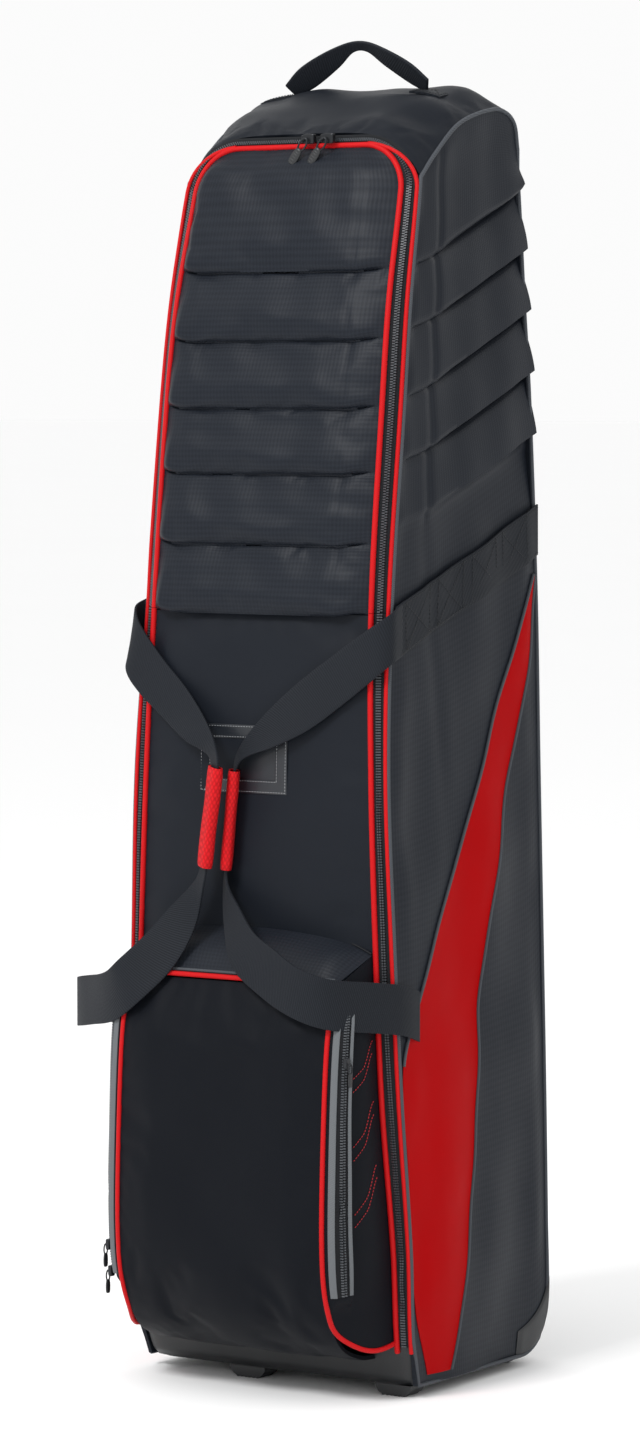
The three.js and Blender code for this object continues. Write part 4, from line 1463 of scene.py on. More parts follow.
@dataclass
class Pocket:
    """The front pocket with its side walls, zips and cords."""

    outline: Outline = field(default_factory=Outline)
    half: float = 0.123
    line: tuple[tuple[float, float], ...] = (
        (-0.203, 0.415),
        (-0.216, 0.36),
        (-0.223, 0.26),
        (-0.225, 0.16),
        (-0.217, 0.104),
        (-0.192, 0.06),
        (-0.156, 0.042),
        (-0.124, 0.038),
    )
    top_edge: tuple[float, float] = (-0.203, 0.418)
    seam_height: float = 0.468
    seam_drop: float = 0.022
    low: float = 0.66  # where along the front wall the side walls end
    red_cord: float = 0.0026
    grey_cord: float = 0.0017
    seam_cord: float = 0.0012
    tapes: tuple[tuple[str, float, float], ...] = (("fore", 0.02, 0.048), ("aft", 0.2, 0.24))
    zip_shares: tuple[float, float] = (0.05, 0.21)  # where the zip tape lies over the side wall
    tooth_shares: tuple[float, float] = (0.115, 0.145)
    stitch_rows: tuple[float, ...] = (0.37, 0.52, 0.67)  # where each pair of red rows starts
    billow: tuple[float, float, float] = (1.0, 0.008, 0.003)

    def front_wall(self) -> bpy.types.Object:
        """Builds the front wall down and under to the base.

        Returns:
            The wall.
        """

        def place(u: Array, v: Array) -> tuple[Array, Array, Array]:
            """Returns the wall at u over the width and v from top to bottom."""
            s = 2 * u - 1
            at = flowing(self.line, v)
            calm = smooth((1 - np.abs(s)) / 0.35) * smooth(v / 0.12) * smooth((0.9 - v) / 0.25)
            x = s * (self.half - 0.001)
            out = calm * (0.005 + 0.0016 * ripple(x, at[:, 1], 71, 0.12))
            return x, at[:, 0] - out, at[:, 1]

        return panel("pocket_face", place, (48, 96), (0.246, 0.48), (0, -1, 0), WALL, self.billow)

    def roof(self) -> bpy.types.Object:
        """Builds the sloping top up to the curved seam on the door.

        Returns:
            The roof.
        """

        def place(u: Array, v: Array) -> tuple[Array, Array, Array]:
            """Returns the roof at u over the width and v up."""
            s = 2 * u - 1
            top = self.seam_height - self.seam_drop * np.abs(s) ** 3
            z = mix(self.top_edge[1], top, v)
            y = mix(self.top_edge[0], self.outline.door(top) - 0.001, v)
            x = s * mix(self.half, float(self.outline.door_half(np.array(0.446))) - 0.002, v)
            calm = np.sin(math.pi * v) * smooth((1 - np.abs(s)) / 0.2)
            return x, y - calm * 0.004, z + calm * (0.006 + 0.0015 * ripple(x, z, 75, 0.08))

        return panel("pocket_roof", place, (44, 16), (0.25, 0.07), (0, -1, 1))

    def wall_at(self, side: int, u: Array, v: Array) -> tuple[Array, Array, Array]:
        """Shape of a side wall, with the ridge that carries its zip.

        Args:
            side: -1 for the left wall, 1 for the right one.
            u: 0 at the front edge, 1 at the door.
            v: 0 at the foot, 1 at the top.

        Returns:
            Shell x, y and z.
        """
        rim = flowing(self.line, mix(self.low, 0.0, v))
        z = mix(rim[..., 1], mix(0.058, 0.446, v), u)
        sag = 0.012 * np.sin(math.pi * u) * (1 - smooth(v / 0.12))
        z = z - sag
        rear = self.outline.door(z) - 0.001
        bulge = 0.009 * np.sin(math.pi * u) * (0.4 + 0.6 * smooth(v / 0.3)) * smooth((1.04 - v) / 0.2)
        ridge = smooth(u / 0.05) * smooth((0.34 - u) / 0.08)
        ridge = ridge * smooth((v - 0.1) / 0.06) * smooth((1 - v) / 0.05)
        x = mix(self.half, self.outline.door_half(z) - 0.002, u) + bulge + 0.0075 * ridge
        folds = 0.0016 * ripple(z, rim[..., 0] * 2, 81, 0.09) * np.sin(math.pi * u)
        return side * (x + folds), mix(rim[..., 0], rear, u), z

    def side_wall(self, name: str, side: int) -> bpy.types.Object:
        """Builds one side wall.

        Args:
            name: The side's name.
            side: -1 for the left, 1 for the right.

        Returns:
            The wall.
        """
        return panel(
            f"pocket_{name}_wall",
            lambda u, v: self.wall_at(side, u, v),
            (56, 72),
            (0.09, 0.38),
            (side, 0, 0),
            0.0016,
        )

    def wall_line(self, side: int, u: Array, v: Array, lift: float) -> Array:
        """Returns frame points on a side wall, lifted outwards."""
        x, y, z = self.wall_at(side, u, v)
        return to_frame(x + side * lift, y, z)

    def trims(self) -> None:
        """Builds the cords, grey tapes, zips and red stitching of the pocket."""
        for name, side in SIDES:
            t = np.linspace(0.0, self.low, 90)
            rim = flowing(self.line, t)
            down = to_frame(np.full(90, side * self.half), rim[:, 0], rim[:, 1])
            u = np.linspace(0.03, 1, 40)
            under = self.wall_line(side, u, np.zeros_like(u), 0.0005)
            path = rounded(np.concatenate([down, under]), 0.03)
            dress(tube(f"pocket_{name}_red_cord", path, self.red_cord), RED_CORD, "case")
            v = np.linspace(0.17, 0.93, 80)
            for label, fore, aft in self.tapes:
                a = self.wall_line(side, np.full(80, fore), v, 0.0022)
                b = self.wall_line(side, np.full(80, aft), v, 0.0028)
                tape = ribbon(f"pocket_{name}_{label}_tape", (a + b) / 2, (b - a) / 2, 0.0014, 2)
                dress(tape, GREY_TAPE, "case")
            a, b = (self.wall_line(side, np.full(80, at), v, 0.0012) for at in self.zip_shares)
            tape = ribbon(f"pocket_{name}_zip_tape", (a + b) / 2, (b - a) / 2, TAPE, 2)
            dress(tape, ZIP_TAPE, "case")
            paths = [self.wall_line(side, np.full(80, at), v, 0.003) for at in self.tooth_shares]
            teeth = Door.teeth(f"pocket_{name}_zip_teeth", paths, 0.0)
            dress(teeth, ZIP_COIL, "case", f"pocket_{name}_zip")
            rows = []
            for start in self.stitch_rows:
                for gap in (0.0, 0.03):
                    u = np.linspace(0.37, 0.8, 40)
                    v = start + gap + 0.05 * (u - 0.37) / 0.43 + 0.035 * smooth((u - 0.55) / 0.22)
                    rows.append(self.wall_line(side, u, v, 0.0006))
            dress(stitching(f"pocket_{name}_red_stitches", rows, 0.0034, 0.0005), RED_THREAD, "case")
        x = np.linspace(-self.half, self.half, 60)
        y, z = self.top_edge
        edge = to_frame(x, np.full(60, y - 0.001), np.full(60, z + 0.001))
        dress(tube("pocket_top_red_cord", edge, self.red_cord), RED_CORD, "case")
        edge = to_frame(x, np.full(60, y + 0.002), np.full(60, z + 0.0052))
        dress(tube("pocket_top_grey_cord", edge, self.grey_cord), GREY_CORD, "case")
        s = np.linspace(-1, 1, 70)
        top = self.seam_height - self.seam_drop * np.abs(s) ** 3
        reach = self.outline.door_half(top) - 0.003
        seam = to_frame(s * reach, self.outline.door(top) - 0.003, top + 0.0005)
        dress(tube("pocket_roof_seam", seam, self.seam_cord), PLAIN_CORD, "case")

    def build(self) -> None:
        """Builds and dresses the pocket."""
        face = dress(self.front_wall(), POCKET_NYLON, "case", "pocket_front")
        roof = dress(self.roof(), SHELL_NYLON, "case", "pocket_top")
        for name, side in SIDES:
            wall = dress(self.side_wall(name, side), POCKET_NYLON, "case", f"pocket_{name}_gusset")
        self.trims()


# ---------------------------------------------------------------- name window


@dataclass
class NameWindow:
    """The sewn frame and film over the name card."""

    outline: Outline = field(default_factory=Outline)
    left: float = -0.066
    right: float = 0.039
    low: float = 0.599
    high: float = 0.667
    border: float = 0.014
    proud: float = 0.004  # how far the door's cloth stands out under the window

    def ring(self, inset: float, lift: float) -> Array:
        """Closed line round the window.

        Args:
            inset: How far inside the outer edge it runs.
            lift: How far it stands off the door's cloth.

        Returns:
            Frame points as rows.
        """
        x0, x1 = self.left + inset, self.right - inset
        z0, z1 = self.low + inset, self.high - inset
        corners = [(x0, z0), (x1, z0), (x1, z1), (x0, z1), (x0, z0)]
        line = []
        for (xa, za), (xb, zb) in zip(corners, corners[1:]):
            t = np.linspace(0, 1, 30)[:-1]
            line.append(np.stack([mix(xa, xb, t), mix(za, zb, t)], axis=-1))
        flat = np.concatenate(line + [np.array([corners[0]])])
        return to_frame(flat[:, 0], self.outline.door(flat[:, 1]) - self.proud - lift, flat[:, 1])

    def build(self) -> None:
        """Builds the frame, the film and the pale stitching."""

        def place(inset: float, lift: float) -> Place:
            """Returns the placing of a flat sheet over the door."""

            def at(u: Array, v: Array) -> tuple[Array, Array, Array]:
                """Returns the sheet at u across and v up."""
                x = mix(self.left + inset, self.right - inset, u)
                z = mix(self.low + inset, self.high - inset, v)
                return x, self.outline.door(z) - self.proud - lift, z

            return at

        size = (self.right - self.left, self.high - self.low)
        border = panel("name_window_border", place(0, 0.0022), (30, 20), size, (0, -1, 0), 0)
        choose(border)
        bpy.ops.object.mode_set(mode="EDIT")
        bpy.ops.mesh.select_all(action="DESELECT")
        bpy.ops.object.mode_set(mode="OBJECT")
        x0 = self.left + self.border + SHELL_MIDDLE[0]
        x1 = self.right - self.border + SHELL_MIDDLE[0]
        for face in border.data.polygons:
            c = face.center
            face.select = x0 < c.x < x1 and self.low + self.border < c.z < self.high - self.border
        bpy.ops.object.mode_set(mode="EDIT")
        bpy.ops.mesh.delete(type="FACE")
        bpy.ops.object.mode_set(mode="OBJECT")
        finish_modifier(border, "SOLIDIFY", thickness=0.0016, offset=-1.0)
        finish_modifier(border, "BEVEL", width=0.0004, segments=2, limit_method="ANGLE")
        dress(border, VINYL, "case", "id_window_frame")
        sheet = place(self.border - 0.002, 0.0008)
        film = panel("name_window_film", sheet, (20, 12), size, (0, -1, 0), 0.0006)
        dress(film, FILM, "case", "id_window_pane")
        rows = [self.ring(inset, 0.0023) for inset in (0.0018, self.border - 0.0018)]
        dress(stitching("name_window_stitches", rows, 0.0032, 0.00035), PALE_THREAD, "case")


# ---------------------------------------------------------------- straps and handles


@dataclass(frozen=True)
class Stop:
    """One place along a strap: middle, tilt of its width, swing of that tilt, half width."""

    at: tuple[float, float, float]
    lean: float
    turn: float = 0.0
    half: float = 0.025


@dataclass
class CarryHandle:
    """One carry handle: webbing from the side, over a sleeve, and back to the side."""

    shell: Shell
    name: str
    side: int
    upper: tuple[Stop, ...]
    grip_top: tuple[float, float, float]
    grip_foot: tuple[float, float, float]
    turn: float
    lower: tuple[Stop, ...]
    blend_from: float
    blend_to: float
    sleeve_half: float = 0.0128  # half the sleeve's width
    sleeve_deep: float = 0.0060  # half its thickness
    sleeve_wall: float = 0.0018

    def stops(self) -> list[Stop]:
        """Returns all stops from the upper root to the lower root."""
        top, foot = np.array(self.grip_top), np.array(self.grip_foot)
        inside = [Stop(tuple(mix(foot, top, k)), 90, self.turn, 0.008) for k in (0.92, 0.5, 0.08)]
        return [*self.upper, *inside, *self.lower]

    def strap(self) -> bpy.types.Object:
        """Builds the webbing as one continuous strap.

        Returns:
            The strap, from the upper root to the lower root.
        """
        stops = self.stops()
        edges = []
        for s in stops:
            lean, turn = math.radians(s.lean), math.radians(s.turn)
            level = s.half * math.sin(lean)
            edges.append((level * math.cos(turn), level * math.sin(turn), s.half * math.cos(lean)))
        gaps = [np.linalg.norm(np.array(a.at) - b.at) for a, b in zip(stops, stops[1:])]
        run = np.concatenate([[0], np.cumsum(gaps)])
        t = np.linspace(0, run[-1], 190)
        centre = np.stack([hermite(t, run, [s.at[k] for s in stops]) for k in range(3)], axis=-1)
        across = np.stack([hermite(t, run, [e[k] for e in edges]) for k in range(3)], axis=-1)
        return ribbon(f"{self.name}_carry_strap", to_frame(*centre.T), across, WEBBING, 10)

    def sleeve(self) -> bpy.types.Object:
        """Builds the padded sleeve round the webbing.

        Returns:
            The sleeve.
        """
        top, foot = Vector(self.grip_top), Vector(self.grip_foot)
        along = (top - foot).normalized()
        swing = math.radians(self.turn)
        wide = Vector((math.cos(swing), math.sin(swing), 0))
        wide = (wide - along * wide.dot(along)).normalized()
        thin = along.cross(wide)

        def place(u: Array, v: Array) -> tuple[Array, Array, Array]:
            """Returns the sleeve at u round it and v along it."""
            angle = 2 * math.pi * u
            pinch = 1 - 0.1 * (np.abs(2 * v - 1) ** 16) + 0.03 * np.sin(9 * v + 2 * np.cos(angle))
            a = self.sleeve_half * pinch * np.sign(np.cos(angle)) * np.abs(np.cos(angle)) ** 0.55
            b = self.sleeve_deep * pinch * np.sign(np.sin(angle)) * np.abs(np.sin(angle)) ** 0.7
            spot = [foot[k] + (top[k] - foot[k]) * v + wide[k] * a + thin[k] * b for k in range(3)]
            return spot[0], spot[1], spot[2]

        piece = panel(f"{self.name}_sleeve", place, (40, 60), (0.064, 0.1), (0, 0, 0), 0)
        close_up(piece, POLE)
        finish_modifier(piece, "SOLIDIFY", thickness=self.sleeve_wall, offset=-1.0)
        soften(piece, 60)
        return piece

    def build(self) -> None:
        """Builds and dresses the handle."""
        body = f"{self.name}_handle"
        strap = self.strap()
        dress(strap, STRAP_WEB, "", f"{self.name}_handle_strap", f"{self.name}_lower_strap_end")
        start = to_frame(self.side * self.blend_from, -0.15, 0.55)
        end = to_frame(self.side * self.blend_to, -0.15, 0.55)
        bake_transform(strap)
        sleeve = dress(self.sleeve(), RED_SLEEVE, body, f"{self.name}_grip")


@dataclass
class SideWebbing:
    """The webbing sewn slanting up each side panel."""

    shell: Shell
    low: float = 0.762
    high: float = 0.857
    half: float = 0.026
    fore: float = -0.134  # depth where the middle line is at low
    run: float = 0.262  # from there back to where it is at high
    ends: tuple[float, float] = (-0.136, 0.1305)
    lift: float = 0.0042
    stitch_lift: float = 0.0056
    stitch_reach: float = 0.023
    boxes: tuple[float, ...] = (-0.12, -0.06, 0.0, 0.06)  # where each stitched box starts
    box_length: float = 0.045

    def build(self) -> None:
        """Builds the webbing and its box stitches on both sides."""
        for name, side in SIDES:

            def line(y: Array, rise: float, lift: float) -> Array:
                """Returns frame points on the side panel at depth y, off the middle line by rise."""
                z = mix(self.low, self.high, (y - self.fore) / self.run) + rise
                base = np.abs(self.shell.skin(side, y, z))
                return to_frame(side * (base + lift), y, z)

            y = np.linspace(*self.ends, 60)
            middle = line(y, 0.0, self.lift)
            reach = line(y, self.half, self.lift) - middle
            band = ribbon(f"{name}_side_strap", middle, reach, WEBBING, 8)
            dress(band, STRAP_WEB, "case", f"{name}_side_webbing")
            rows = [line(y, k * (self.half - 0.003), self.stitch_lift) for k in (-1, 1)]
            t = np.linspace(0, 1, 14)
            rise = mix(-self.stitch_reach, self.stitch_reach, t)
            for fore in self.boxes:
                aft = fore + self.box_length
                across = mix(fore, aft, t)
                for at, up in ((across, rise), (across, -rise), (fore + 0 * t, rise), (aft + 0 * t, rise)):
                    rows.append(line(at, up, self.stitch_lift))
            dress(stitching(f"{name}_side_strap_stitches", rows, 0.004, 0.0004), BLACK_THREAD, "case")


@dataclass
class TopHandle:
    """The webbing loop on the crown and its sewn ends."""

    outline: Outline = field(default_factory=Outline)
    y: float = 0.027
    reach: float = 0.083
    pivot: float = 1.306
    tilt: float = 52.0  # how far the webbing leans over, in degrees
    marks: tuple[tuple[float, float, float], ...] = (
        (0.12, 0.042, 0.006),
        (0.4, 0.030, 0.011),
        (0.74, 0.014, 0.013),
        (1.0, 0.0, 0.009),
    )  # share of the reach, rise and half width, from the middle out
    box: tuple[tuple[float, float], ...] = ((0.08, 0.08), (0.92, 0.08), (0.92, 0.92), (0.08, 0.92))

    def build(self) -> None:
        """Builds the loop, its folded ends and the stitching."""
        right = [(a * self.reach, self.pivot + rise, half) for a, rise, half in self.marks]
        left = [(-x, z, half) for x, z, half in reversed(right)]
        flat = flowing(left + right, np.linspace(0, 1, 90))
        centre = to_frame(flat[:, 0], np.full(90, self.y), flat[:, 1])
        way = np.gradient(centre, axis=0)
        way /= np.linalg.norm(way, axis=1)[:, None]
        level = np.cross(way, np.array([0, 1.0, 0]))
        tilt = np.radians(self.tilt)
        across = (math.cos(tilt) * np.array([0, 1.0, 0]) - math.sin(tilt) * level) * flat[:, 2:3]
        loop = ribbon("top_loop", centre, across, 0.0034, 8)
        dress(loop, STRAP_WEB, "top_handle", "top_handle")
        for name, side in SIDES:

            def place(u: Array, v: Array) -> tuple[Array, Array, Array]:
                """Returns the sewn end at u outwards and v from front to back."""
                x, y, z = self.outline.crown_at(mix(0.40, 0.58, v), side * mix(0.52, 0.78, u))
                return x, y, z + 0.0035

            end = panel(f"top_loop_{name}_end", place, (12, 12), (0.036, 0.05), (0, 0, 1), WEBBING)
            dress(end, STRAP_WEB, "case", f"top_handle_{name}_anchor")
            rows = []
            k = np.linspace(0, 1, 12)
            for a, b in ((0, 1), (1, 2), (2, 3), (3, 0), (0, 2), (1, 3)):
                (u0, v0), (u1, v1) = self.box[a], self.box[b]
                x, y, z = place(mix(u0, u1, k), mix(v0, v1, k))
                rows.append(to_frame(x, y, z + 0.0004))
            dress(stitching(f"top_loop_{name}_stitches", rows, 0.0036, 0.0004), BLACK_THREAD, "case")


# ---------------------------------------------------------------- zip sliders


@dataclass
class Slider:
    """One zip slider with a loop and a moulded pull."""

    name: str
    out: tuple[float, float, float]
    along: tuple[float, float, float]
    scale: float = 1.0
    block: tuple[float, float, float] = (0.013, 0.009, 0.0052)
    reach: float = 0.0265  # from the pin to the end of the pull
    tab_start: float = 0.0095
    tab_half: float = 0.0042
    tab_deep: float = 0.0017
    loop_size: tuple[float, float] = (0.0065, 0.0034)
    wire: float = 0.0009

    def build(self) -> None:
        """Builds the slider and its pull where their solids are."""
        low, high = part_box(f"{self.name}_slider")
        middle = (Vector(low) + Vector(high)) / 2
        out, along = Vector(self.out), Vector(self.along)
        side = along.cross(out)
        turn = Matrix((along, side, out)).transposed().to_4x4()
        bpy.ops.object.select_all(action="DESELECT")
        bpy.ops.mesh.primitive_cube_add(size=1)
        body = bpy.context.object
        body.name = body.data.name = f"{self.name}_slide_block"
        body.data.transform(Matrix.Diagonal((*(self.scale * side for side in self.block), 1)))
        bpy.ops.object.mode_set(mode="EDIT")
        bpy.ops.mesh.select_all(action="SELECT")
        bpy.ops.mesh.subdivide(number_cuts=4)
        bpy.ops.object.mode_set(mode="OBJECT")
        for v in body.data.vertices:
            end = v.co.x / (self.block[0] / 2 * self.scale)
            v.co.y *= 1 - 0.3 * end**2 * (1 if end < 0 else 0.4)
        finish_modifier(body, "BEVEL", width=0.0009, segments=2, limit_method="ANGLE")
        body.data.transform(Matrix.Translation(middle) @ turn)
        soften(body, 45)
        dress(body, GUNMETAL, f"{self.name}_slider", f"{self.name}_slider")
        self.pull(out)

    def pull(self, out: Vector) -> None:
        """Builds the loop and the grooved pull that hangs from the slider.

        Args:
            out: Direction away from the zip.
        """
        joints = frame["record"]["behaviour"]["joints"]
        joint = next(j for j in joints if j["child"] == f"{self.name}_pull")
        pin = Vector(joint["pos_m"])
        axis = Vector(joint["axis"]).normalized()
        down = out.cross(axis).normalized()
        if down.z > 0:
            down = -down
        start, end = self.tab_start * self.scale, self.reach * self.scale
        long, half = (size * self.scale for size in self.loop_size)
        ring = []
        for a in np.linspace(0, 2 * math.pi, 40)[:-1]:
            drop = long * (1 - math.cos(a)) - 0.001
            ring.append(pin + down * drop + axis * (half * math.sin(a)))
        loop = tube(f"{self.name}_pull_loop", np.array(ring), self.wire * self.scale, True)
        dress(loop, GUNMETAL, f"{self.name}_pull")

        def place(u: Array, v: Array) -> tuple[Array, Array, Array]:
            """Returns the pull at u round it and v down it."""
            angle = 2 * math.pi * u
            swell = 0.55 + 0.45 * np.sin(math.pi * np.clip(v * 0.95, 0.02, 1)) ** 0.6
            width = self.tab_half * self.scale * swell
            width = width * np.sqrt(np.clip(1 - np.abs(2 * v - 1) ** 14, 0, 1))
            grooves = 1 - 0.12 * (np.sin(v * 40) > 0.3)
            a = width * np.cos(angle)
            taper = np.sqrt(np.clip(1 - np.abs(2 * v - 1) ** 10, 0, 1))
            b = self.tab_deep * self.scale * np.sin(angle) * grooves * taper
            run = start + (end - start) * v
            spot = [pin[k] + down[k] * run + axis[k] * a + out[k] * b for k in range(3)]
            return spot[0] - SHELL_MIDDLE[0], spot[1] - SHELL_MIDDLE[1], spot[2]

        tab = panel(f"{self.name}_pull_tab", place, (20, 44), (0.02, 0.02), (0, 0, 0), 0)
        close_up(tab, POLE)
        soften(tab, 50)
        dress(tab, MOULDED, f"{self.name}_pull", f"{self.name}_pull")


# ---------------------------------------------------------------- base and wheels


@dataclass
class Base:
    """The moulded base with its feet, rails, wheels and inner board."""

    plain: tuple[tuple[str, Hard], ...] = (
        ("base_tray", MOULDED),
        ("base_board", BASE_SHEET),
        ("left_foot", MOULDED),
        ("right_foot", MOULDED),
        ("left_skid_rail", MOULDED),
        ("right_skid_rail", MOULDED),
        ("left_wheel_housing", MOULDED),
        ("right_wheel_housing", MOULDED),
        ("left_wheel", TREAD),
        ("right_wheel", TREAD),
        ("left_wheel_bearings", STEEL),
        ("right_wheel_bearings", STEEL),
        ("left_axle", STEEL),
        ("right_axle", STEEL),
        ("inner_buckle", MOULDED),
    )

    def skirt(self) -> bpy.types.Object:
        """Builds the moulded strip across the front, under the pocket.

        Returns:
            The strip.
        """

        def place(u: Array, v: Array) -> tuple[Array, Array, Array]:
            """Returns the strip at u over the width and v up."""
            s = 2 * u - 1
            z = mix(0.0125, 0.062, v)
            bend = 1 - np.sqrt(np.clip(1 - np.abs(s) ** 12, 0, 1))
            rib = 0.0009 * np.exp(-(((v - 0.72) / 0.05) ** 2))
            y = OUTLINE.front(z) - 0.0045 + 0.012 * bend + 0.006 * (1 - smooth(v / 0.22)) ** 2 - rib
            return s * (OUTLINE.half(z) - 0.0015), y, z

        return panel("base_front_strip", place, (48, 24), (0.33, 0.05), (0, -1, 0), 0.003)

    def corner_guard(self, name: str, side: int) -> bpy.types.Object:
        """Builds the moulded guard round one lower rear corner.

        Args:
            name: The side's name.
            side: -1 for the left, 1 for the right.

        Returns:
            The guard.
        """
        shell = Shell()

        def place(u: Array, v: Array) -> tuple[Array, Array, Array]:
            """Returns the guard at u from front to back and v up."""
            share = mix(0.80, 1.0, u)
            z = shell.foot(share) + 0.0005 + mix(0.0, 0.026 + 0.02 * u, v)
            y = mix(OUTLINE.front(z), OUTLINE.back(z), share)
            swell = 0.0016 * np.sqrt(np.clip(1 - np.abs(2 * v - 1) ** 6, 0, 1)) * smooth(u / 0.15)
            return shell.skin(side, y, z) + side * (0.0008 + swell), y + 0.0008 * u, z

        return panel(f"{name}_rear_corner_guard", place, (20, 16), (0.05, 0.03), (side, 0, 0), 0.002)

    def build(self) -> None:
        """Dresses the solids that keep their own shape and adds the moulded trims."""
        dress(self.skirt(), MOULDED, "case")
        for name, side in SIDES:
            dress(self.corner_guard(name, side), MOULDED, "case")
        for name, finish in self.plain:
            node = frame["nodes"][name]
            node.data.materials.clear()
            node.data.materials.append(finish.material())
            log.info("%s: dressed", name)


@dataclass
class Inside:
    """What shows when the flap is open: crown padding and the strap for the golf bag."""

    outline: Outline = field(default_factory=Outline)

    def build(self) -> None:
        """Builds the quilted crown pad and the inner strap."""

        def pad(u: Array, v: Array) -> tuple[Array, Array, Array]:
            """Returns the pad's lower face at u across and v back."""
            share = mix(0.16, 0.84, v)
            x, y, z = self.outline.crown_at(share, 0.78 * (2 * u - 1))
            quilt = 0.0022 * np.abs(np.sin(math.pi * 4 * u) * np.sin(math.pi * 4 * v))
            return x, y, z - 0.0105 - quilt

        piece = panel("crown_pad", pad, (48, 40), (0.22, 0.17), (0, 0, -1), 0.005)
        dress(piece, LINING, "case", "crown_foam")
        low, high = (Vector(c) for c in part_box("inner_strap"))
        x = np.linspace(low.x, high.x + 0.012, 60)
        y = np.full(60, (low.y + high.y) / 2) - 0.001 * np.sin(np.linspace(0, 9, 60))
        centre = np.stack([x, y, np.full(60, (low.z + high.z) / 2)], axis=-1)
        across = np.tile([0, 0, (high.z - low.z) / 2], (60, 1))
        dress(ribbon("bag_strap", centre, across, 0.002, 6), STRAP_WEB, "case", "inner_strap")


# ---------------------------------------------------------------- studio


@dataclass
class Studio:
    """Floor, lights, world and camera."""

    azimuth: float = 33.5
    distance: float = 5.22
    eye: float = 0.99
    lens: float = 128.0
    pitch: float = 3.58
    yaw: float = 0.27
    sky: float = 0.97
    aim: tuple[float, float, float] = (0, 0, 0.75)
    lamps: tuple[tuple[str, tuple[float, float, float], float, float], ...] = (
        ("key", (-0.4, -3.6, 3.9), 1.3, 150),
        ("fill", (2.6, -0.9, 2.8), 1.0, 4),
        ("rim", (1.0, 3.2, 2.6), 1.5, 5),
    )  # name, place, size and power

    def floor(self) -> None:
        """Lays a wide pale floor."""
        bpy.ops.object.select_all(action="DESELECT")
        bpy.ops.mesh.primitive_plane_add(size=400)
        ground = bpy.context.object
        ground.name = "floor"
        r = Recipe("floor_pale")
        tone = r.blend(r.noise(0.5, 2.0), (0.98, 0.98, 0.98), (0.995, 0.995, 0.995))
        r.feed(r.shader.inputs["Base Color"], tone)
        r.shader.inputs["Roughness"].default_value = 0.9
        ground.data.materials.append(r.material)

    def light(self, name: str, place: tuple[float, float, float], size: float, power: float) -> None:
        """Adds a soft square light aimed at the middle of the case.

        Args:
            name: The light's name.
            place: Where it stands.
            size: Length of its side.
            power: Its power in watts.
        """
        data = bpy.data.lights.new(name, "AREA")
        data.size = size
        data.energy = power
        lamp = bpy.data.objects.new(name, data)
        bpy.context.collection.objects.link(lamp)
        lamp.location = place
        aim = Vector(self.aim) - Vector(place)
        lamp.rotation_mode = "QUATERNION"
        lamp.rotation_quaternion = aim.to_track_quat("-Z", "Y")

    def camera(self) -> None:
        """Sets the camera."""
        turn = math.radians(self.azimuth)
        data = bpy.data.cameras.new("view")
        data.lens = self.lens
        eye = bpy.data.objects.new("view", data)
        bpy.context.collection.objects.link(eye)
        eye.location = (
            self.distance * math.sin(turn) + SHELL_MIDDLE[0],
            -self.distance * math.cos(turn) + SHELL_MIDDLE[1],
            self.eye,
        )
        eye.rotation_euler = (math.radians(90 - self.pitch), 0, turn + math.radians(self.yaw))
        bpy.context.scene.camera = eye

    def build(self) -> None:
        """Builds the studio."""
        self.floor()
        world = bpy.data.worlds.new("studio")
        world.use_nodes = True
        world.node_tree.nodes["Background"].inputs[0].default_value = (1, 1, 1, 1)
        world.node_tree.nodes["Background"].inputs[1].default_value = self.sky
        bpy.context.scene.world = world
        bpy.context.scene.view_settings.view_transform = "Standard"
        for lamp in self.lamps:
            self.light(*lamp)
        self.camera()


# ---------------------------------------------------------------- the whole case


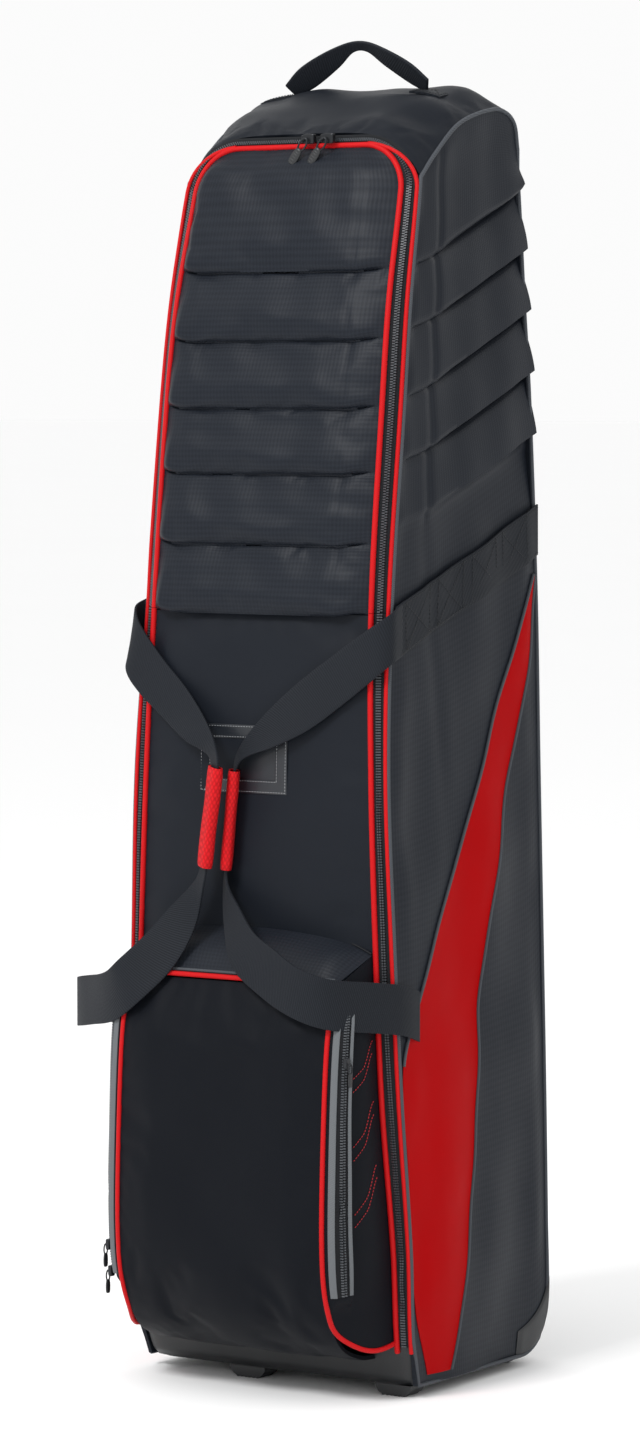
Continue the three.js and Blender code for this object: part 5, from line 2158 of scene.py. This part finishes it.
def carry_handles(shell: Shell) -> list[CarryHandle]:
    """Sets out the two carry handles, each with its own hang.

    Args:
        shell: The shell they are sewn to.

    Returns:
        The left handle, which hangs in front, and the right one.
    """
    left = CarryHandle(
        shell,
        "left",
        -1,
        (
            Stop((-0.1525, -0.128, 0.7645), 0, 0, 0.026),
            Stop((-0.158, -0.147, 0.757), 6),
            Stop((-0.1515, -0.1575, 0.741), 20),
            Stop((-0.128, -0.162, 0.715), 40, 0, 0.023),
            Stop((-0.092, -0.168, 0.686), 48, 0, 0.021),
            Stop((-0.056, -0.181, 0.658), 60, 0, 0.016),
            Stop((-0.031, -0.189, 0.638), 82, -30, 0.01),
        ),
        (-0.027, -0.19, 0.626),
        (-0.041, -0.19, 0.526),
        -38,
        (
            Stop((-0.046, -0.191, 0.51), 98, -30, 0.01),
            Stop((-0.064, -0.196, 0.474), 122, 0, 0.018),
            Stop((-0.085, -0.207, 0.44), 134, 0, 0.023),
            Stop((-0.112, -0.222, 0.41), 150, 0, 0.024),
            Stop((-0.138, -0.216, 0.393), 168),
            Stop((-0.178, -0.194, 0.384), 180),
            Stop((-0.212, -0.17, 0.378), 180),
            Stop((-0.22, -0.152, 0.377), 180),
            Stop((-0.208, -0.136, 0.378), 180),
            Stop((-0.184, -0.128, 0.38), 180),
            Stop((-0.168, -0.12, 0.382), 180),
        ),
        0.185,
        0.14,
    )
    right = CarryHandle(
        shell,
        "right",
        1,
        (
            Stop((0.1525, -0.128, 0.7645), 180, 0, 0.026),
            Stop((0.155, -0.149, 0.757), 180),
            Stop((0.144, -0.159, 0.746), 176),
            Stop((0.104, -0.164, 0.717), 168),
            Stop((0.06, -0.168, 0.686), 158, 0, 0.023),
            Stop((0.02, -0.171, 0.659), 142, -10, 0.016),
            Stop((-0.012, -0.171, 0.636), 112, -45, 0.009),
        ),
        (-0.018, -0.171, 0.622),
        (-0.028, -0.171, 0.523),
        -57,
        (
            Stop((-0.028, -0.172, 0.508), 78, -45, 0.009),
            Stop((-0.01, -0.187, 0.478), 52, -20, 0.016),
            Stop((0.018, -0.208, 0.448), 36, 0, 0.022),
            Stop((0.056, -0.222, 0.429), 18),
            Stop((0.094, -0.229, 0.412), 8),
            Stop((0.126, -0.221, 0.402), 3),
            Stop((0.153, -0.178, 0.396), 0),
            Stop((0.164, -0.15, 0.392), 0),
            Stop((0.1665, -0.134, 0.388), 0),
            Stop((0.166, -0.116, 0.382), 0),
        ),
        0.165,
        0.135,
    )
    return [left, right]


def main() -> None:
    """Builds the whole case."""
    logging.basicConfig(level=logging.INFO, format="%(message)s")
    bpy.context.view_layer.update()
    Studio().build()
    shell = Shell()
    shell.build()
    Inserts(shell).build()
    Door().build()
    Pocket().build()
    NameWindow().build()
    SideWebbing(shell).build()
    for handle in carry_handles(shell):
        handle.build()
    TopHandle().build()
    for name in ("left_door", "right_door"):
        Slider(name, (0, -1, 0), (1, 0, 0), 1.15).build()
    for name, side in (("pocket_left_upper", -1), ("pocket_left_lower", -1), ("pocket_right", 1)):
        Slider(name, (side, 0, 0), (0, 0, 1), 0.85).build()
    Base().build()
    Inside().build()


if __name__ == "__main__":
    main()
